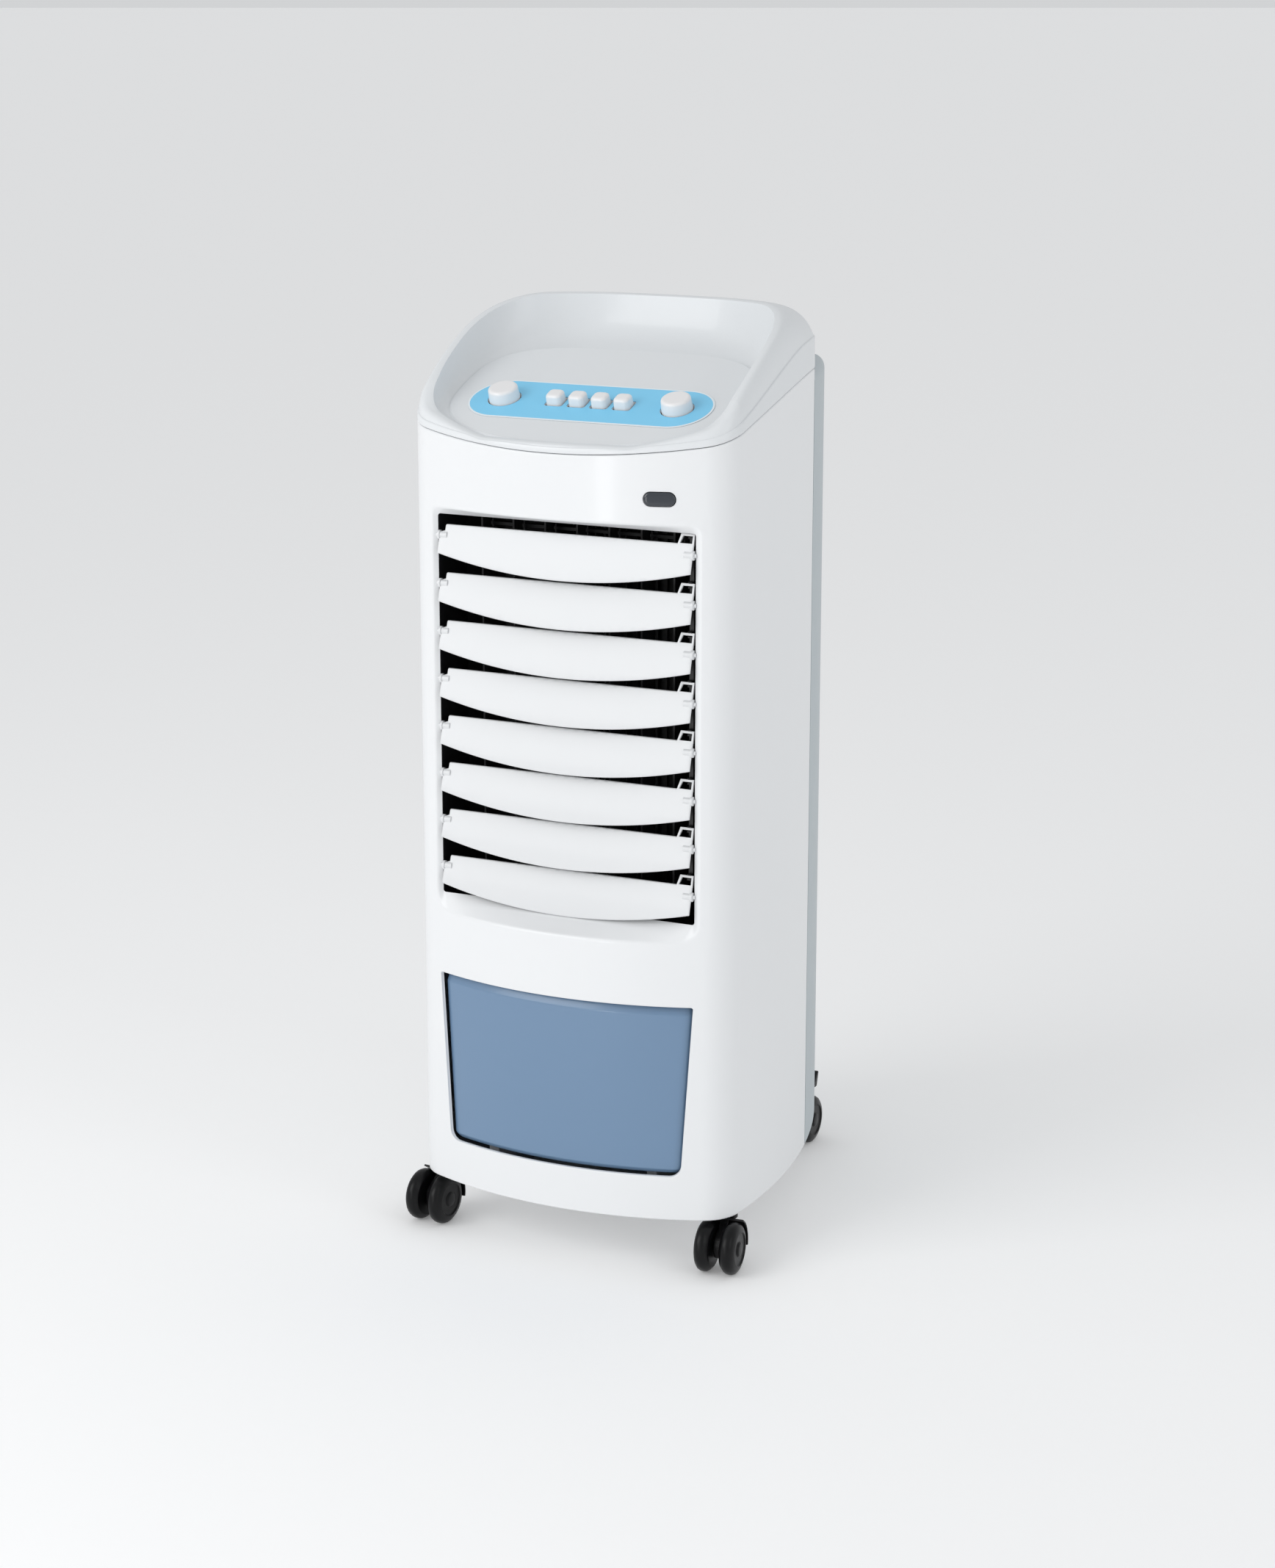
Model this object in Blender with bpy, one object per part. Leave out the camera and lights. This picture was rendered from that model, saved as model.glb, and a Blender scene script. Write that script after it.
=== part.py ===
"""A tower evaporative cooler on four twin-wheel casters, in metres, +Z up.

The origin is on the floor, under the middle of the whole width and depth. The front faces -Y.
"""

import math

import bmesh
import bpy
from mathutils import Matrix, Vector

# Casing outline: a bowed front, two tight corners, sides that close in towards the back.
# FRONT_Y puts the origin halfway between the foremost and the hindmost point, a rear wheel.
FRONT_Y = -0.1671
BODY_DEPTH = 0.305
SEAM_DEPTH = 0.202
COVER_DEPTH = 0.238
HALF_WIDTH = 0.1305
FRONT_RADIUS = 0.290
FRONT_CORNER = 0.030
SIDE_RADIUS = 0.520
WIDEST_DEPTH = 0.088
REAR_CORNER = 0.032
COVER_CORNER = 0.052

BASE_Z = 0.0415
BASE_THICK = 0.0105
WALL = 0.0026
GAP = 0.0004

# Parting line between casing and top cover: it climbs to the seam and is level behind it.
PARTING_Z = 0.6065
PARTING_RISE = 0.0434
PARTING_POWER = 1.8
HOUSING_TOP = PARTING_Z + PARTING_RISE

# Rim of the top cover and the sloping panel inside it.
LIP_Z = 0.614
RIM_RISE = 0.0855
RIM_START_DEPTH = 0.006
RIM_RUN = 0.200
RIM_POWER = 2.0
COVER_WALL = 0.0024
FLOOR_Z = 0.6145
FLOOR_DEPTH = 0.015
FLOOR_SLOPE = 0.38
FLOOR_MIDDLE = 0.0775
FLOOR_HALF = 0.111
FLOOR_REACH = 0.066
RIDGE_MIDDLE = 0.090
RIDGE_REACH = 0.108
RIDGE_INSET = 0.0070
TROUGH_DEEP = 0.008
PANEL_DEPTH = 0.065

# Louvre opening: a funnel from the bowed face to a flat back edge.
RECESS_HALF = 0.1028
RECESS_FLARE = 0.0052
RECESS_LOW = 0.2676
RECESS_HIGH = 0.5534
RECESS_BACK_DEPTH = 0.0234
SILL_DROP = 0.0136
HEAD_RISE = 0.0086

# Louvres.
LOUVRE_COUNT = 8
LOUVRE_PITCH = 0.0356
LOUVRE_TOP_Z = 0.538
LOUVRE_DEPTH = 0.0225
LOUVRE_TILT = math.radians(74)
LOUVRE_THICK = 0.0018
LOUVRE_HALF = 0.1010
LINK_ARM = 0.0142
LINK_X = 0.0975
LOOP_POSTS = ((0.0937, 0.0952), (0.0995, 0.1010))
PIVOT_RADIUS = 0.0015
PIVOT_REACH = 0.1038
CLIP_OUTER = 0.0026
CLIP_INNER = 0.0014

# Air duct and what turns in it.
DUCT_LOW = 0.264
DUCT_HIGH = 0.557
DUCT_SKIN = 0.0025
DUCT_FRONT_DEPTH = 0.0243
DUCT_HALF = 0.1026
DUCT_BACK_DEPTH = 0.184
DRUM_DEPTH = 0.135
DRUM_RADIUS = 0.045
DRUM_BLADES = 16
VANE_COUNT = 7
VANE_PITCH = 0.0257
VANE_DEPTH = 0.050
VANE_PIN_REACH = 0.011
CRANK_X = 0.0895

# Tank and its window, wider at the top.
WINDOW_LOW = 0.0754
WINDOW_HIGH = 0.206
WINDOW_HALF_LOW = 0.0959
WINDOW_HALF_HIGH = 0.1036
TANK_GAP = 0.0009
TANK_WALL = 0.0024
TANK_BACK_DEPTH = 0.279
PARTITION_Z = 0.214
PARTITION_THICK = 0.003
HOSE_X = 0.060
HOSE_RADIUS = 0.0035
PUMP_DEPTH = 0.118
PAD_HALF = 0.082
PAD_DEPTHS = (0.241, 0.273)
PAD_HEIGHTS = (0.2176, 0.6140)
TRAY_HEIGHTS = (0.6145, 0.632)
TRAY_WALL = 0.002
GLAND_X = -0.040
GLAND_Z = 0.226

# Controls.
KNOB_X = 0.069
KNOB_RADIUS = 0.0115
BUTTON_PITCH = 0.018
BUTTON_SIDE = 0.0126
LABEL_HALF = 0.096
LABEL_RADIUS = 0.0275

# Indicator lens above the louvres.
LENS_X = 0.080
LENS_Z = 0.578
LENS_HALF = 0.0114
LENS_RADIUS = 0.0049

# Filter panel in the back.
FILTER_HALF = 0.060
FILTER_LOW = 0.240
FILTER_HIGH = 0.612

# Casters.
FRONT_STEM = (0.1188, 0.0515)
REAR_STEM = (0.0650, 0.2960)
WHEEL_RADIUS = 0.0195
WHEEL_SIDES = 20
WHEEL_HALF = 0.0165
TRAIL = 0.019
AXLE_Z = WHEEL_RADIUS * math.cos(math.pi / WHEEL_SIDES)
STEM_RADIUS = 0.004
FRONT_TOE = math.radians(5)
LEVER_PIVOT = (-0.0255, 0.0413)


# ---- outlines -------------------------------------------------------------------------


def at(depth):
    """The y of a depth behind the bow's foremost point."""
    return FRONT_Y + depth


def arc(centre, radius, start, end, steps):
    """Points on an arc, without its first one."""
    turn = [start + (end - start) * i / steps for i in range(1, steps + 1)]
    return [(centre[0] + radius * math.cos(a), centre[1] + radius * math.sin(a)) for a in turn]


def heading(start, end):
    return math.atan2(end[1] - start[1], end[0] - start[0])


FRONT_CENTRE = (0.0, FRONT_Y + FRONT_RADIUS)
SIDE_CENTRE = (HALF_WIDTH - SIDE_RADIUS, FRONT_Y + WIDEST_DEPTH)


def corner_centre():
    """Centre of the corner that touches the front arc and the side arc from inside."""
    a, b = Vector(FRONT_CENTRE), Vector(SIDE_CENTRE)
    ra, rb = FRONT_RADIUS - FRONT_CORNER, SIDE_RADIUS - FRONT_CORNER
    span = (b - a).length
    along = (ra * ra - rb * rb + span * span) / (2 * span)
    across = math.sqrt(ra * ra - along * along)
    unit = (b - a) / span
    foot = a + unit * along
    crossings = [foot + s * across * Vector((-unit.y, unit.x)) for s in (1, -1)]
    return tuple(max(crossings, key=lambda point: point.x))


CORNER_CENTRE = corner_centre()


def rear_centre(depth, radius):
    y = FRONT_Y + depth - radius
    reach = SIDE_RADIUS - radius
    return (SIDE_CENTRE[0] + math.sqrt(reach**2 - (y - SIDE_CENTRE[1]) ** 2), y)


def front_run(inset):
    """Right half of the bow and its corner, from the middle to the side arc."""
    first = heading(FRONT_CENTRE, CORNER_CENTRE)
    second = heading(SIDE_CENTRE, CORNER_CENTRE)
    points = [(0.0, FRONT_Y + inset)]
    points += arc(FRONT_CENTRE, FRONT_RADIUS - inset, -math.pi / 2, first, 7)
    return points + arc(CORNER_CENTRE, FRONT_CORNER - inset, first, second, 5)


def side_run(inset, start, end, steps):
    return arc(SIDE_CENTRE, SIDE_RADIUS - inset, start, end, steps)


def seam_angle(inset, depth=SEAM_DEPTH):
    return math.asin((at(depth) - SIDE_CENTRE[1]) / (SIDE_RADIUS - inset))


def rear_run(inset, start, depth, corner, steps=6):
    """Right half from an angle on the side arc round to the middle of the back."""
    centre = rear_centre(depth, corner)
    end = heading(SIDE_CENTRE, centre)
    points = side_run(inset, start, end, steps)
    points += arc(centre, corner - inset, end, math.pi / 2, 6)
    return points + [(0.0, centre[1] + corner - inset)]


def mirrored(half):
    """A closed loop from a right half that starts and ends on the middle plane."""
    return half + [(-x, y) for x, y in reversed(half[1:-1])]


def outline(inset, depth=BODY_DEPTH, corner=REAR_CORNER):
    """Closed plan of the whole casing, with a point where its two halves meet."""
    start, seam = heading(SIDE_CENTRE, CORNER_CENTRE), seam_angle(inset)
    half = front_run(inset) + side_run(inset, start, seam, 5)
    return mirrored(half + rear_run(inset, seam, depth, corner, 3))


def parting_z(y):
    """Edge between shell and cover, rising fast at first and level at the seam."""
    share = min(max((y - FRONT_Y) / SEAM_DEPTH, 0.0), 1.0)
    return PARTING_Z + PARTING_RISE * (1 - (1 - share) ** PARTING_POWER)


def rim_z(y):
    share = min(max((y - FRONT_Y - RIM_START_DEPTH) / RIM_RUN, 0.0), 1.0)
    return LIP_Z + RIM_RISE * (1 - (1 - share) ** RIM_POWER)


def floor_z(y):
    return FLOOR_Z + FLOOR_SLOPE * (y - FRONT_Y - FLOOR_DEPTH)


def bow_y(x, inset=0.0):
    """The y of the bowed face at a place across it."""
    return FRONT_CENTRE[1] - math.sqrt((FRONT_RADIUS - inset) ** 2 - x * x)


# ---- modelling helpers ----------------------------------------------------------------


def clear_scene():
    for obj in list(bpy.data.objects):
        bpy.data.objects.remove(obj, do_unlink=True)


def material(name, colour, roughness, metallic=0.0):
    made = bpy.data.materials.new(name)
    made.use_nodes = True
    shader = made.node_tree.nodes["Principled BSDF"]
    shader.inputs["Base Color"].default_value = (*colour, 1.0)
    shader.inputs["Roughness"].default_value = roughness
    shader.inputs["Metallic"].default_value = metallic
    return made


def place(name, bm, location=(0, 0, 0), rotation=(0, 0, 0)):
    """Turns a bmesh into an object with outward faces."""
    bmesh.ops.recalc_face_normals(bm, faces=bm.faces)
    mesh = bpy.data.meshes.new(name)
    bm.to_mesh(mesh)
    bm.free()
    obj = bpy.data.objects.new(name, mesh)
    bpy.context.scene.collection.objects.link(obj)
    obj.location = location
    obj.rotation_euler = rotation
    return obj


def loft(name, loops, location=(0, 0, 0), rotation=(0, 0, 0)):
    """A closed skin over loops of equal length, capped at both ends."""
    bm = bmesh.new()
    rings = [[bm.verts.new(point) for point in loop] for loop in loops]
    for low, high in zip(rings, rings[1:]):
        for i in range(len(low)):
            j = (i + 1) % len(low)
            bm.faces.new((low[i], low[j], high[j], high[i]))
    bm.faces.new(reversed(rings[0]))
    bm.faces.new(rings[-1])
    return place(name, bm, location, rotation)


def prism(name, points, low, high, location=(0, 0, 0), rotation=(0, 0, 0)):
    """A plan outline raised from low to high, which are heights or functions of y."""
    bottom = low if callable(low) else lambda y: low
    top = high if callable(high) else lambda y: high
    loops = [[(x, y, bottom(y)) for x, y in points], [(x, y, top(y)) for x, y in points]]
    return loft(name, loops, location, rotation)


def slab(name, points, near, far, location=(0, 0, 0), rotation=(0, 0, 0)):
    """An outline in the x-z plane, run along y."""
    loops = [[(x, near, z) for x, z in points], [(x, far, z) for x, z in points]]
    return loft(name, loops, location, rotation)


def plate(name, points, left, right, location=(0, 0, 0), rotation=(0, 0, 0)):
    """An outline in the y-z plane, run along x."""
    loops = [[(left, y, z) for y, z in points], [(right, y, z) for y, z in points]]
    return loft(name, loops, location, rotation)


def rectangle(x0, x1, y0, y1):
    return [(x0, y0), (x1, y0), (x1, y1), (x0, y1)]


def box(name, x, y, z, location=(0, 0, 0), rotation=(0, 0, 0)):
    return prism(name, rectangle(*x, *y), *z, location, rotation)


def circle(radius, sides, centre=(0, 0), turn=0.0):
    angles = [turn + 2 * math.pi * i / sides for i in range(sides)]
    return [(centre[0] + radius * math.cos(a), centre[1] + radius * math.sin(a)) for a in angles]


def stadium(half, radius, steps=8):
    """An outline with round ends, half being the half length over all."""
    centre = half - radius
    right = arc((centre, 0), radius, -math.pi / 2 - 1e-9, math.pi / 2, steps)
    ends = [(centre, -radius)] + right
    return ends + [(-x, -y) for x, y in ends]


def rounded(x0, x1, z0, z1, low, high, steps=4):
    """A rectangle with corner radii low at its bottom and high at its top."""
    half = math.pi / 2
    centres = [(x1 - low, z0 + low, low, -half), (x1 - high, z1 - high, high, 0.0)]
    centres += [(x0 + high, z1 - high, high, half), (x0 + low, z0 + low, low, math.pi)]
    points = []
    for x, z, radius, start in centres:
        points.append((x + radius * math.cos(start), z + radius * math.sin(start)))
        points += arc((x, z), radius, start, start + half, steps)
    return points


def turned(name, profile, sides, axis="Z", location=(0, 0, 0), rotation=(0, 0, 0)):
    """A solid of revolution from (along, radius) pairs whose ends are on the axis."""
    bm = bmesh.new()
    step = 2 * math.pi / sides
    rings = []
    for along, radius in profile:
        count = sides if radius > 0 else 1
        ring = []
        for i in range(count):
            a = (i + 0.5) * step
            across = (radius * math.sin(a), radius * math.cos(a))
            point = (along, *across) if axis == "X" else (*across, along)
            ring.append(bm.verts.new(point))
        rings.append(ring)
    for low, high in zip(rings, rings[1:]):
        for i in range(sides):
            j = (i + 1) % sides
            corners = [low[i % len(low)], low[j % len(low)], high[j % len(high)], high[i % len(high)]]
            bm.faces.new(list(dict.fromkeys(corners)))
    return place(name, bm, location, rotation)


def combine(target, operation, *tools):
    """Joins, cuts or intersects the target with the tools, then drops the tools."""
    for tool in tools:
        modifier = target.modifiers.new("solid", "BOOLEAN")
        modifier.operation = operation
        modifier.object = tool
    bpy.context.view_layer.update()
    graph = bpy.context.evaluated_depsgraph_get()
    mesh = bpy.data.meshes.new_from_object(target.evaluated_get(graph))
    target.modifiers.clear()
    target.data = mesh
    for tool in tools:
        bpy.data.objects.remove(tool, do_unlink=True)
    return target


def join(target, *tools):
    return combine(target, "UNION", *tools)


def cut(target, *tools):
    return combine(target, "DIFFERENCE", *tools)


def finish(obj, made, smooth=True):
    """Gives an object its material and soft shading."""
    obj.data.materials.clear()
    obj.data.materials.append(made)
    if smooth:
        obj.data.shade_smooth()
        obj.data.set_sharp_from_angle(angle=math.radians(35))
    return obj


def copy_of(source, name, location):
    twin = bpy.data.objects.new(name, source.data)
    bpy.context.scene.collection.objects.link(twin)
    twin.location = location
    twin.rotation_euler = source.rotation_euler
    return twin


# ---- casing ---------------------------------------------------------------------------


def shell_plan():
    """The U of the front shell: bow, corners and sides up to the seam."""
    start = heading(SIDE_CENTRE, CORNER_CENTRE)
    outer = front_run(0.0) + side_run(0.0, start, seam_angle(0.0), 6)
    inner = front_run(WALL) + side_run(WALL, start, seam_angle(WALL), 6)
    left = [(-x, y) for x, y in reversed(outer[1:])]
    left_inner = [(-x, y) for x, y in inner[1:]]
    return left + outer + list(reversed(inner)) + left_inner


def recess_cutter():
    """The funnel, carried on in front of the face so that it cuts cleanly."""
    reach = 2.0
    back = rounded(-RECESS_HALF, RECESS_HALF, RECESS_LOW, RECESS_HIGH, 0.002, 0.002)
    half = RECESS_HALF + reach * RECESS_FLARE
    low = RECESS_LOW - reach * SILL_DROP
    high = RECESS_HIGH + reach * HEAD_RISE
    front = rounded(-half, half, low, high, 0.034, 0.020)
    near = at(RECESS_BACK_DEPTH - reach * RECESS_BACK_DEPTH)
    loops = [[(x, at(RECESS_BACK_DEPTH), z) for x, z in back], [(x, near, z) for x, z in front]]
    behind = [(x, at(RECESS_BACK_DEPTH + 0.01), z) for x, z in back]
    return loft("funnel", [behind] + loops)


def recess_block():
    """Solid that backs the funnel between the bowed face and the duct."""
    half = RECESS_HALF + 0.0034
    bow = [(half * i / 6, bow_y(half * i / 6, 0.0009)) for i in range(-6, 7)]
    plan = bow + [(half, at(RECESS_BACK_DEPTH)), (-half, at(RECESS_BACK_DEPTH))]
    return prism("block", plan, RECESS_LOW - SILL_DROP - 0.004, RECESS_HIGH + HEAD_RISE + 0.003)


def window_outline(shrink):
    """Tank window: a sharp top edge, slanting sides and round lower corners."""
    lower, upper = WINDOW_HALF_LOW - shrink, WINDOW_HALF_HIGH - shrink
    low, high, radius = WINDOW_LOW + shrink, WINDOW_HIGH - shrink, 0.008
    round_end = [(lower - radius, low), (lower - radius * 0.42, low + radius * 0.14)]
    round_end += [(lower - radius * 0.06, low + radius * 0.52), (lower + radius * 0.06, low + radius)]
    right = round_end + [(upper, high)]
    return right + [(-x, z) for x, z in reversed(right)]


def lens_turn():
    return math.asin(LENS_X / FRONT_RADIUS)


def front_shell(made):
    shell = prism("front_shell", shell_plan(), BASE_Z, parting_z)
    join(shell, recess_block())
    pins = []
    for i in range(LOUVRE_COUNT):
        spot = (0, at(LOUVRE_DEPTH), LOUVRE_TOP_Z - i * LOUVRE_PITCH)
        pins.append(plate("pin", circle(0.0020, 8), -0.1044, 0.1044, spot))
    window = slab("window", window_outline(0.0), at(-0.01), at(0.045))
    hole = stadium(LENS_HALF + GAP, LENS_RADIUS + GAP)
    lens = slab("lens_hole", hole, -0.01, 0.01, lens_place(), (0, 0, lens_turn()))
    cut(shell, recess_cutter(), window, lens, *pins)
    return finish(shell, made)


def lens_place():
    return (LENS_X, bow_y(LENS_X), LENS_Z)


def indicator_lens(made):
    outline_xz = stadium(LENS_HALF, LENS_RADIUS)
    lens = slab("indicator_lens", outline_xz, -0.0003, 0.0030, lens_place(), (0, 0, lens_turn()))
    return finish(lens, made)


def rear_loop(inset, z, seam=None):
    """Closed loop of the rear housing at one height, straight along the seam."""
    y = at(SEAM_DEPTH) + GAP if seam is None else seam
    start = math.asin((y - SIDE_CENTRE[1]) / (SIDE_RADIUS - inset))
    first = (SIDE_CENTRE[0] + (SIDE_RADIUS - inset) * math.cos(start), y)
    half = [(0.0, y), first] + rear_run(inset, start, BODY_DEPTH, REAR_CORNER, 4)
    return [(x, y, z) for x, y in mirrored(half)]


def rear_housing(made):
    rounds = [(0.0, BASE_Z), (0.0, HOUSING_TOP - 0.010), (0.0025, HOUSING_TOP - 0.0035)]
    rounds += [(0.009, HOUSING_TOP)]
    housing = loft("rear_housing", [rear_loop(inset, z) for inset, z in rounds])
    within = at(SEAM_DEPTH) - 0.01
    inner = [(WALL, BASE_Z - 0.01), (WALL, HOUSING_TOP - 0.011)]
    inner += [(0.009, HOUSING_TOP - WALL)]
    hollow = loft("hollow", [rear_loop(inset, z, within) for inset, z in inner])
    across, up = (-FILTER_HALF, FILTER_HALF), (FILTER_LOW, FILTER_HIGH)
    opening = box("opening", across, (at(0.28), at(0.32)), up)
    gland = slab("gland_hole", circle(0.0054, 10), -0.01, 0.01, gland_place())
    return finish(cut(housing, hollow, opening, gland), made)


def gland_place():
    return (GLAND_X, at(BODY_DEPTH), GLAND_Z)


def cable_gland(made):
    profile = [(-0.006, 0.0), (-0.006, 0.0050), (0.0004, 0.0050), (0.0004, 0.0080)]
    profile += [(0.0030, 0.0080), (0.0070, 0.0055), (0.0070, 0.0)]
    gland = turned("cable_gland", profile, 12, "Z", gland_place(), (-math.pi / 2, 0, 0))
    bore = turned("bore", [(0.0, 0.0), (0.0, 0.0032), (0.02, 0.0032), (0.02, 0.0)], 8)
    bore.location, bore.rotation_euler = gland_place(), (-math.pi / 2, 0, 0)
    return finish(cut(gland, bore), made)


def base(made):
    plan = outline(WALL + GAP)
    floor = prism("base", plan, BASE_Z, BASE_Z + BASE_THICK)
    runners = []
    for side in (-1, 1):
        across = sorted((side * 0.062, side * 0.070))
        top = WINDOW_LOW + TANK_GAP - 0.0003
        runners.append(box("runner", across, (at(0.03), at(0.275)), (BASE_Z + 0.008, top)))
    join(floor, *runners)
    holes = []
    for x, y in stem_places():
        hole = circle(STEM_RADIUS + 0.0004, 10, (x, y))
        holes.append(prism("hole", hole, BASE_Z - 0.01, BASE_Z + 0.0095))
    return finish(cut(floor, *holes), made)


def stem_places():
    places = [(-FRONT_STEM[0], at(FRONT_STEM[1])), (FRONT_STEM[0], at(FRONT_STEM[1]))]
    return places + [(-REAR_STEM[0], at(REAR_STEM[1])), (REAR_STEM[0], at(REAR_STEM[1]))]


# ---- top cover and controls -----------------------------------------------------------


def eased(value, low, high):
    t = min(max((value - low) / (high - low), 0.0), 1.0)
    return t * t * (3 - 2 * t)


def rearward(y):
    """From 0 along the sides to 1 at the middle of the back."""
    return eased(y - FRONT_Y, 0.120, COVER_DEPTH)


def band_z(y):
    """Top of the cover's upright outer band."""
    rise = 0.0050 + 0.0190 * eased(y - FRONT_Y, 0.0, 0.17)
    return min(parting_z(y) + rise, rim_z(y) - 0.0016)


def floor_edge(x, y):
    """Where the line from the panel's middle to a point leaves the panel."""
    dx, dy = x, y - at(FLOOR_MIDDLE)
    power = 2.5 if dy < 0 else 3.5
    scale = (abs(dx / FLOOR_HALF) ** power + abs(dy / FLOOR_REACH) ** power) ** (-1 / power)
    return (dx * scale, at(FLOOR_MIDDLE) + dy * scale)


def ridge_point(outer, offset):
    """Crest of the rim: beside the outline in front, rounding in towards the back."""
    dx, dy = outer[0], outer[1] - at(RIDGE_MIDDLE)
    if dy <= 0:
        return offset
    half = HALF_WIDTH - RIDGE_INSET
    scale = (abs(dx / half) ** 2.6 + (dy / RIDGE_REACH) ** 2.6) ** (-1 / 2.6)
    return (dx * scale, at(RIDGE_MIDDLE) + dy * scale)


def between(a, b, t, z):
    return (a[0] + (b[0] - a[0]) * t, a[1] + (b[1] - a[1]) * t, z)


def cover_plans():
    """The cover's outline and the same outline moved in, point for point."""
    insets = (0.0, 0.0012, COVER_WALL, 0.0036, RIDGE_INSET)
    return [outline(inset, COVER_DEPTH, COVER_CORNER) for inset in insets]


def cover_column(outer, band_top, wall, inner, offset):
    """One upright section, from under the panel round the foot and the rim to the panel."""
    y = outer[1]
    ridge = ridge_point(outer, offset)
    edge = floor_edge(*ridge)
    foot, band, top, low = parting_z(y), band_z(y), rim_z(y), floor_z(edge[1])
    back, gap = rearward(y), math.dist(ridge, edge)
    deep = 0.0010 + (TROUGH_DEEP - 0.0010) * back
    drop = COVER_WALL + deep
    rolled = min(0.0050 / gap, 0.34)
    knee = max(0.42 - 0.20 * back, rolled + 0.08)
    under = [
        (*edge, low - COVER_WALL),
        between(ridge, edge, 0.80, low - drop),
        between(ridge, edge, max(0.42 - 0.20 * back, 0.3), low - drop),
        (*ridge, max(top - 0.0034, low - drop + 0.0006)),
        (*inner, min(band - 0.0010, top - 0.0036)),
        (*wall, parting_z(wall[1]) + GAP),
    ]
    outside = [
        (*outer, foot + GAP),
        (*outer, band - 0.0008),
        (*band_top, band),
        between(band_top, ridge, 0.12 + 0.12 * back, band + 0.45 * (top - band)),
        between(band_top, ridge, 0.45 + 0.10 * back, band + 0.85 * (top - band)),
    ]
    inside = [
        (*ridge, top),
        between(ridge, edge, rolled, top - 0.0010),
        between(ridge, edge, rolled + 0.75 * (knee - rolled), low + 0.36 * max(top - low, 0.0)),
        between(ridge, edge, knee + 0.10, low + 0.08 * max(top - low, 0.0)),
        between(ridge, edge, 1 - (0.0016 + 0.012 * back) / gap, low - deep),
        (*edge, low),
    ]
    return under + outside + inside


def panel_place(x=0.0, along=0.0):
    """A point on the panel, given across it and up its slope from its middle."""
    tilt = panel_tilt()
    y = at(PANEL_DEPTH) + along * math.cos(tilt)
    return (x, y, floor_z(at(PANEL_DEPTH)) + along * math.sin(tilt))


def panel_tilt():
    return math.atan(FLOOR_SLOPE)


def on_panel(obj, x=0.0, along=0.0):
    obj.location = panel_place(x, along)
    obj.rotation_euler = (panel_tilt(), 0, 0)
    return obj


def button_xs():
    return [BUTTON_PITCH * (i - 1.5) for i in range(4)]


def control_holes(grow):
    tools = []
    for x in (-KNOB_X, KNOB_X):
        tools.append(on_panel(prism("hole", circle(KNOB_RADIUS + grow, 20), -0.012, 0.012), x))
    side = BUTTON_SIDE / 2 + grow
    for x in button_xs():
        tools.append(on_panel(box("hole", (-side, side), (-side, side), (-0.012, 0.012)), x))
    return tools


def top_cover(made):
    columns = [cover_column(*places) for places in zip(*cover_plans())]
    cover = loft("top_cover", [list(loop) for loop in zip(*columns)])
    return finish(cut(cover, *control_holes(0.0007)), made)


def control_label(made):
    label = on_panel(prism("control_label", stadium(LABEL_HALF, LABEL_RADIUS), 0.0003, 0.0010))
    return finish(cut(label, *control_holes(0.0011)), made)


def knob(name, x, made):
    profile = [(-0.0065, 0.0), (-0.0065, 0.003), (-0.002, 0.003), (-0.002, KNOB_RADIUS)]
    profile += [(0.0085, KNOB_RADIUS - 0.0005), (0.0100, KNOB_RADIUS - 0.0020), (0.0100, 0.0)]
    return finish(on_panel(turned(name, profile, 20), x), made)


def push_button(name, x, made):
    side = BUTTON_SIDE / 2
    loops = []
    for inset, z in ((0.0, -0.002), (0.0002, 0.0068), (0.0012, 0.008)):
        half = side - inset
        points = rounded(-half, half, -half, half, 0.0022, 0.0022, 2)
        loops.append([(px, py, z) for px, py in points])
    button = loft(name, loops)
    join(button, prism("stem", circle(0.002, 8), -0.0065, -0.001))
    return finish(on_panel(button, x), made)


def control_unit(name, x, half, top, deep, made):
    unit = box(name, (-half, half), (-0.017, 0.017), (-deep, -top))
    return finish(on_panel(unit, x), made, False)


# ---- louvres --------------------------------------------------------------------------


def louvre_outline():
    """Blade outline, x across and y forward from the pivot as -y, before tilting."""
    bow = []
    for i in range(13):
        x = LOUVRE_HALF * (1 - i / 6)
        bow.append((x, -(0.0261 - 0.0126 * (x / LOUVRE_HALF) ** 2)))
    left = [(-LOUVRE_HALF, 0.0012), (-0.0968, 0.0032), (-0.0968, 0.0072), (-0.0958, 0.008)]
    return bow + left + [(LOUVRE_HALF, 0.008)]


def louvre(name, made):
    """A crescent blade with two pivot pins and the loop that the link clips on to."""
    half = LOUVRE_THICK / 2
    blade = prism(name, louvre_outline(), -half, half)
    parts = []
    for ends in ((-PIVOT_REACH, -0.0960), (0.0960, PIVOT_REACH)):
        parts.append(plate("pin", circle(PIVOT_RADIUS, 8), *ends))
    for ends in LOOP_POSTS:
        parts.append(box("post", ends, (0.007, LINK_ARM + 0.0008), (-0.0008, 0.0008)))
    parts.append(plate("bar", circle(0.0011, 8, (LINK_ARM, 0)), LOOP_POSTS[0][0], LOOP_POSTS[1][1]))
    return finish(join(blade, *parts), made)


def louvre_place(i):
    return (0, at(LOUVRE_DEPTH), LOUVRE_TOP_Z - i * LOUVRE_PITCH)


def louvres(made):
    first = louvre("louvre_1", made)
    first.rotation_euler = (LOUVRE_TILT, 0, 0)
    first.location = louvre_place(0)
    for i in range(1, LOUVRE_COUNT):
        copy_of(first, f"louvre_{i + 1}", louvre_place(i))


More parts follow.
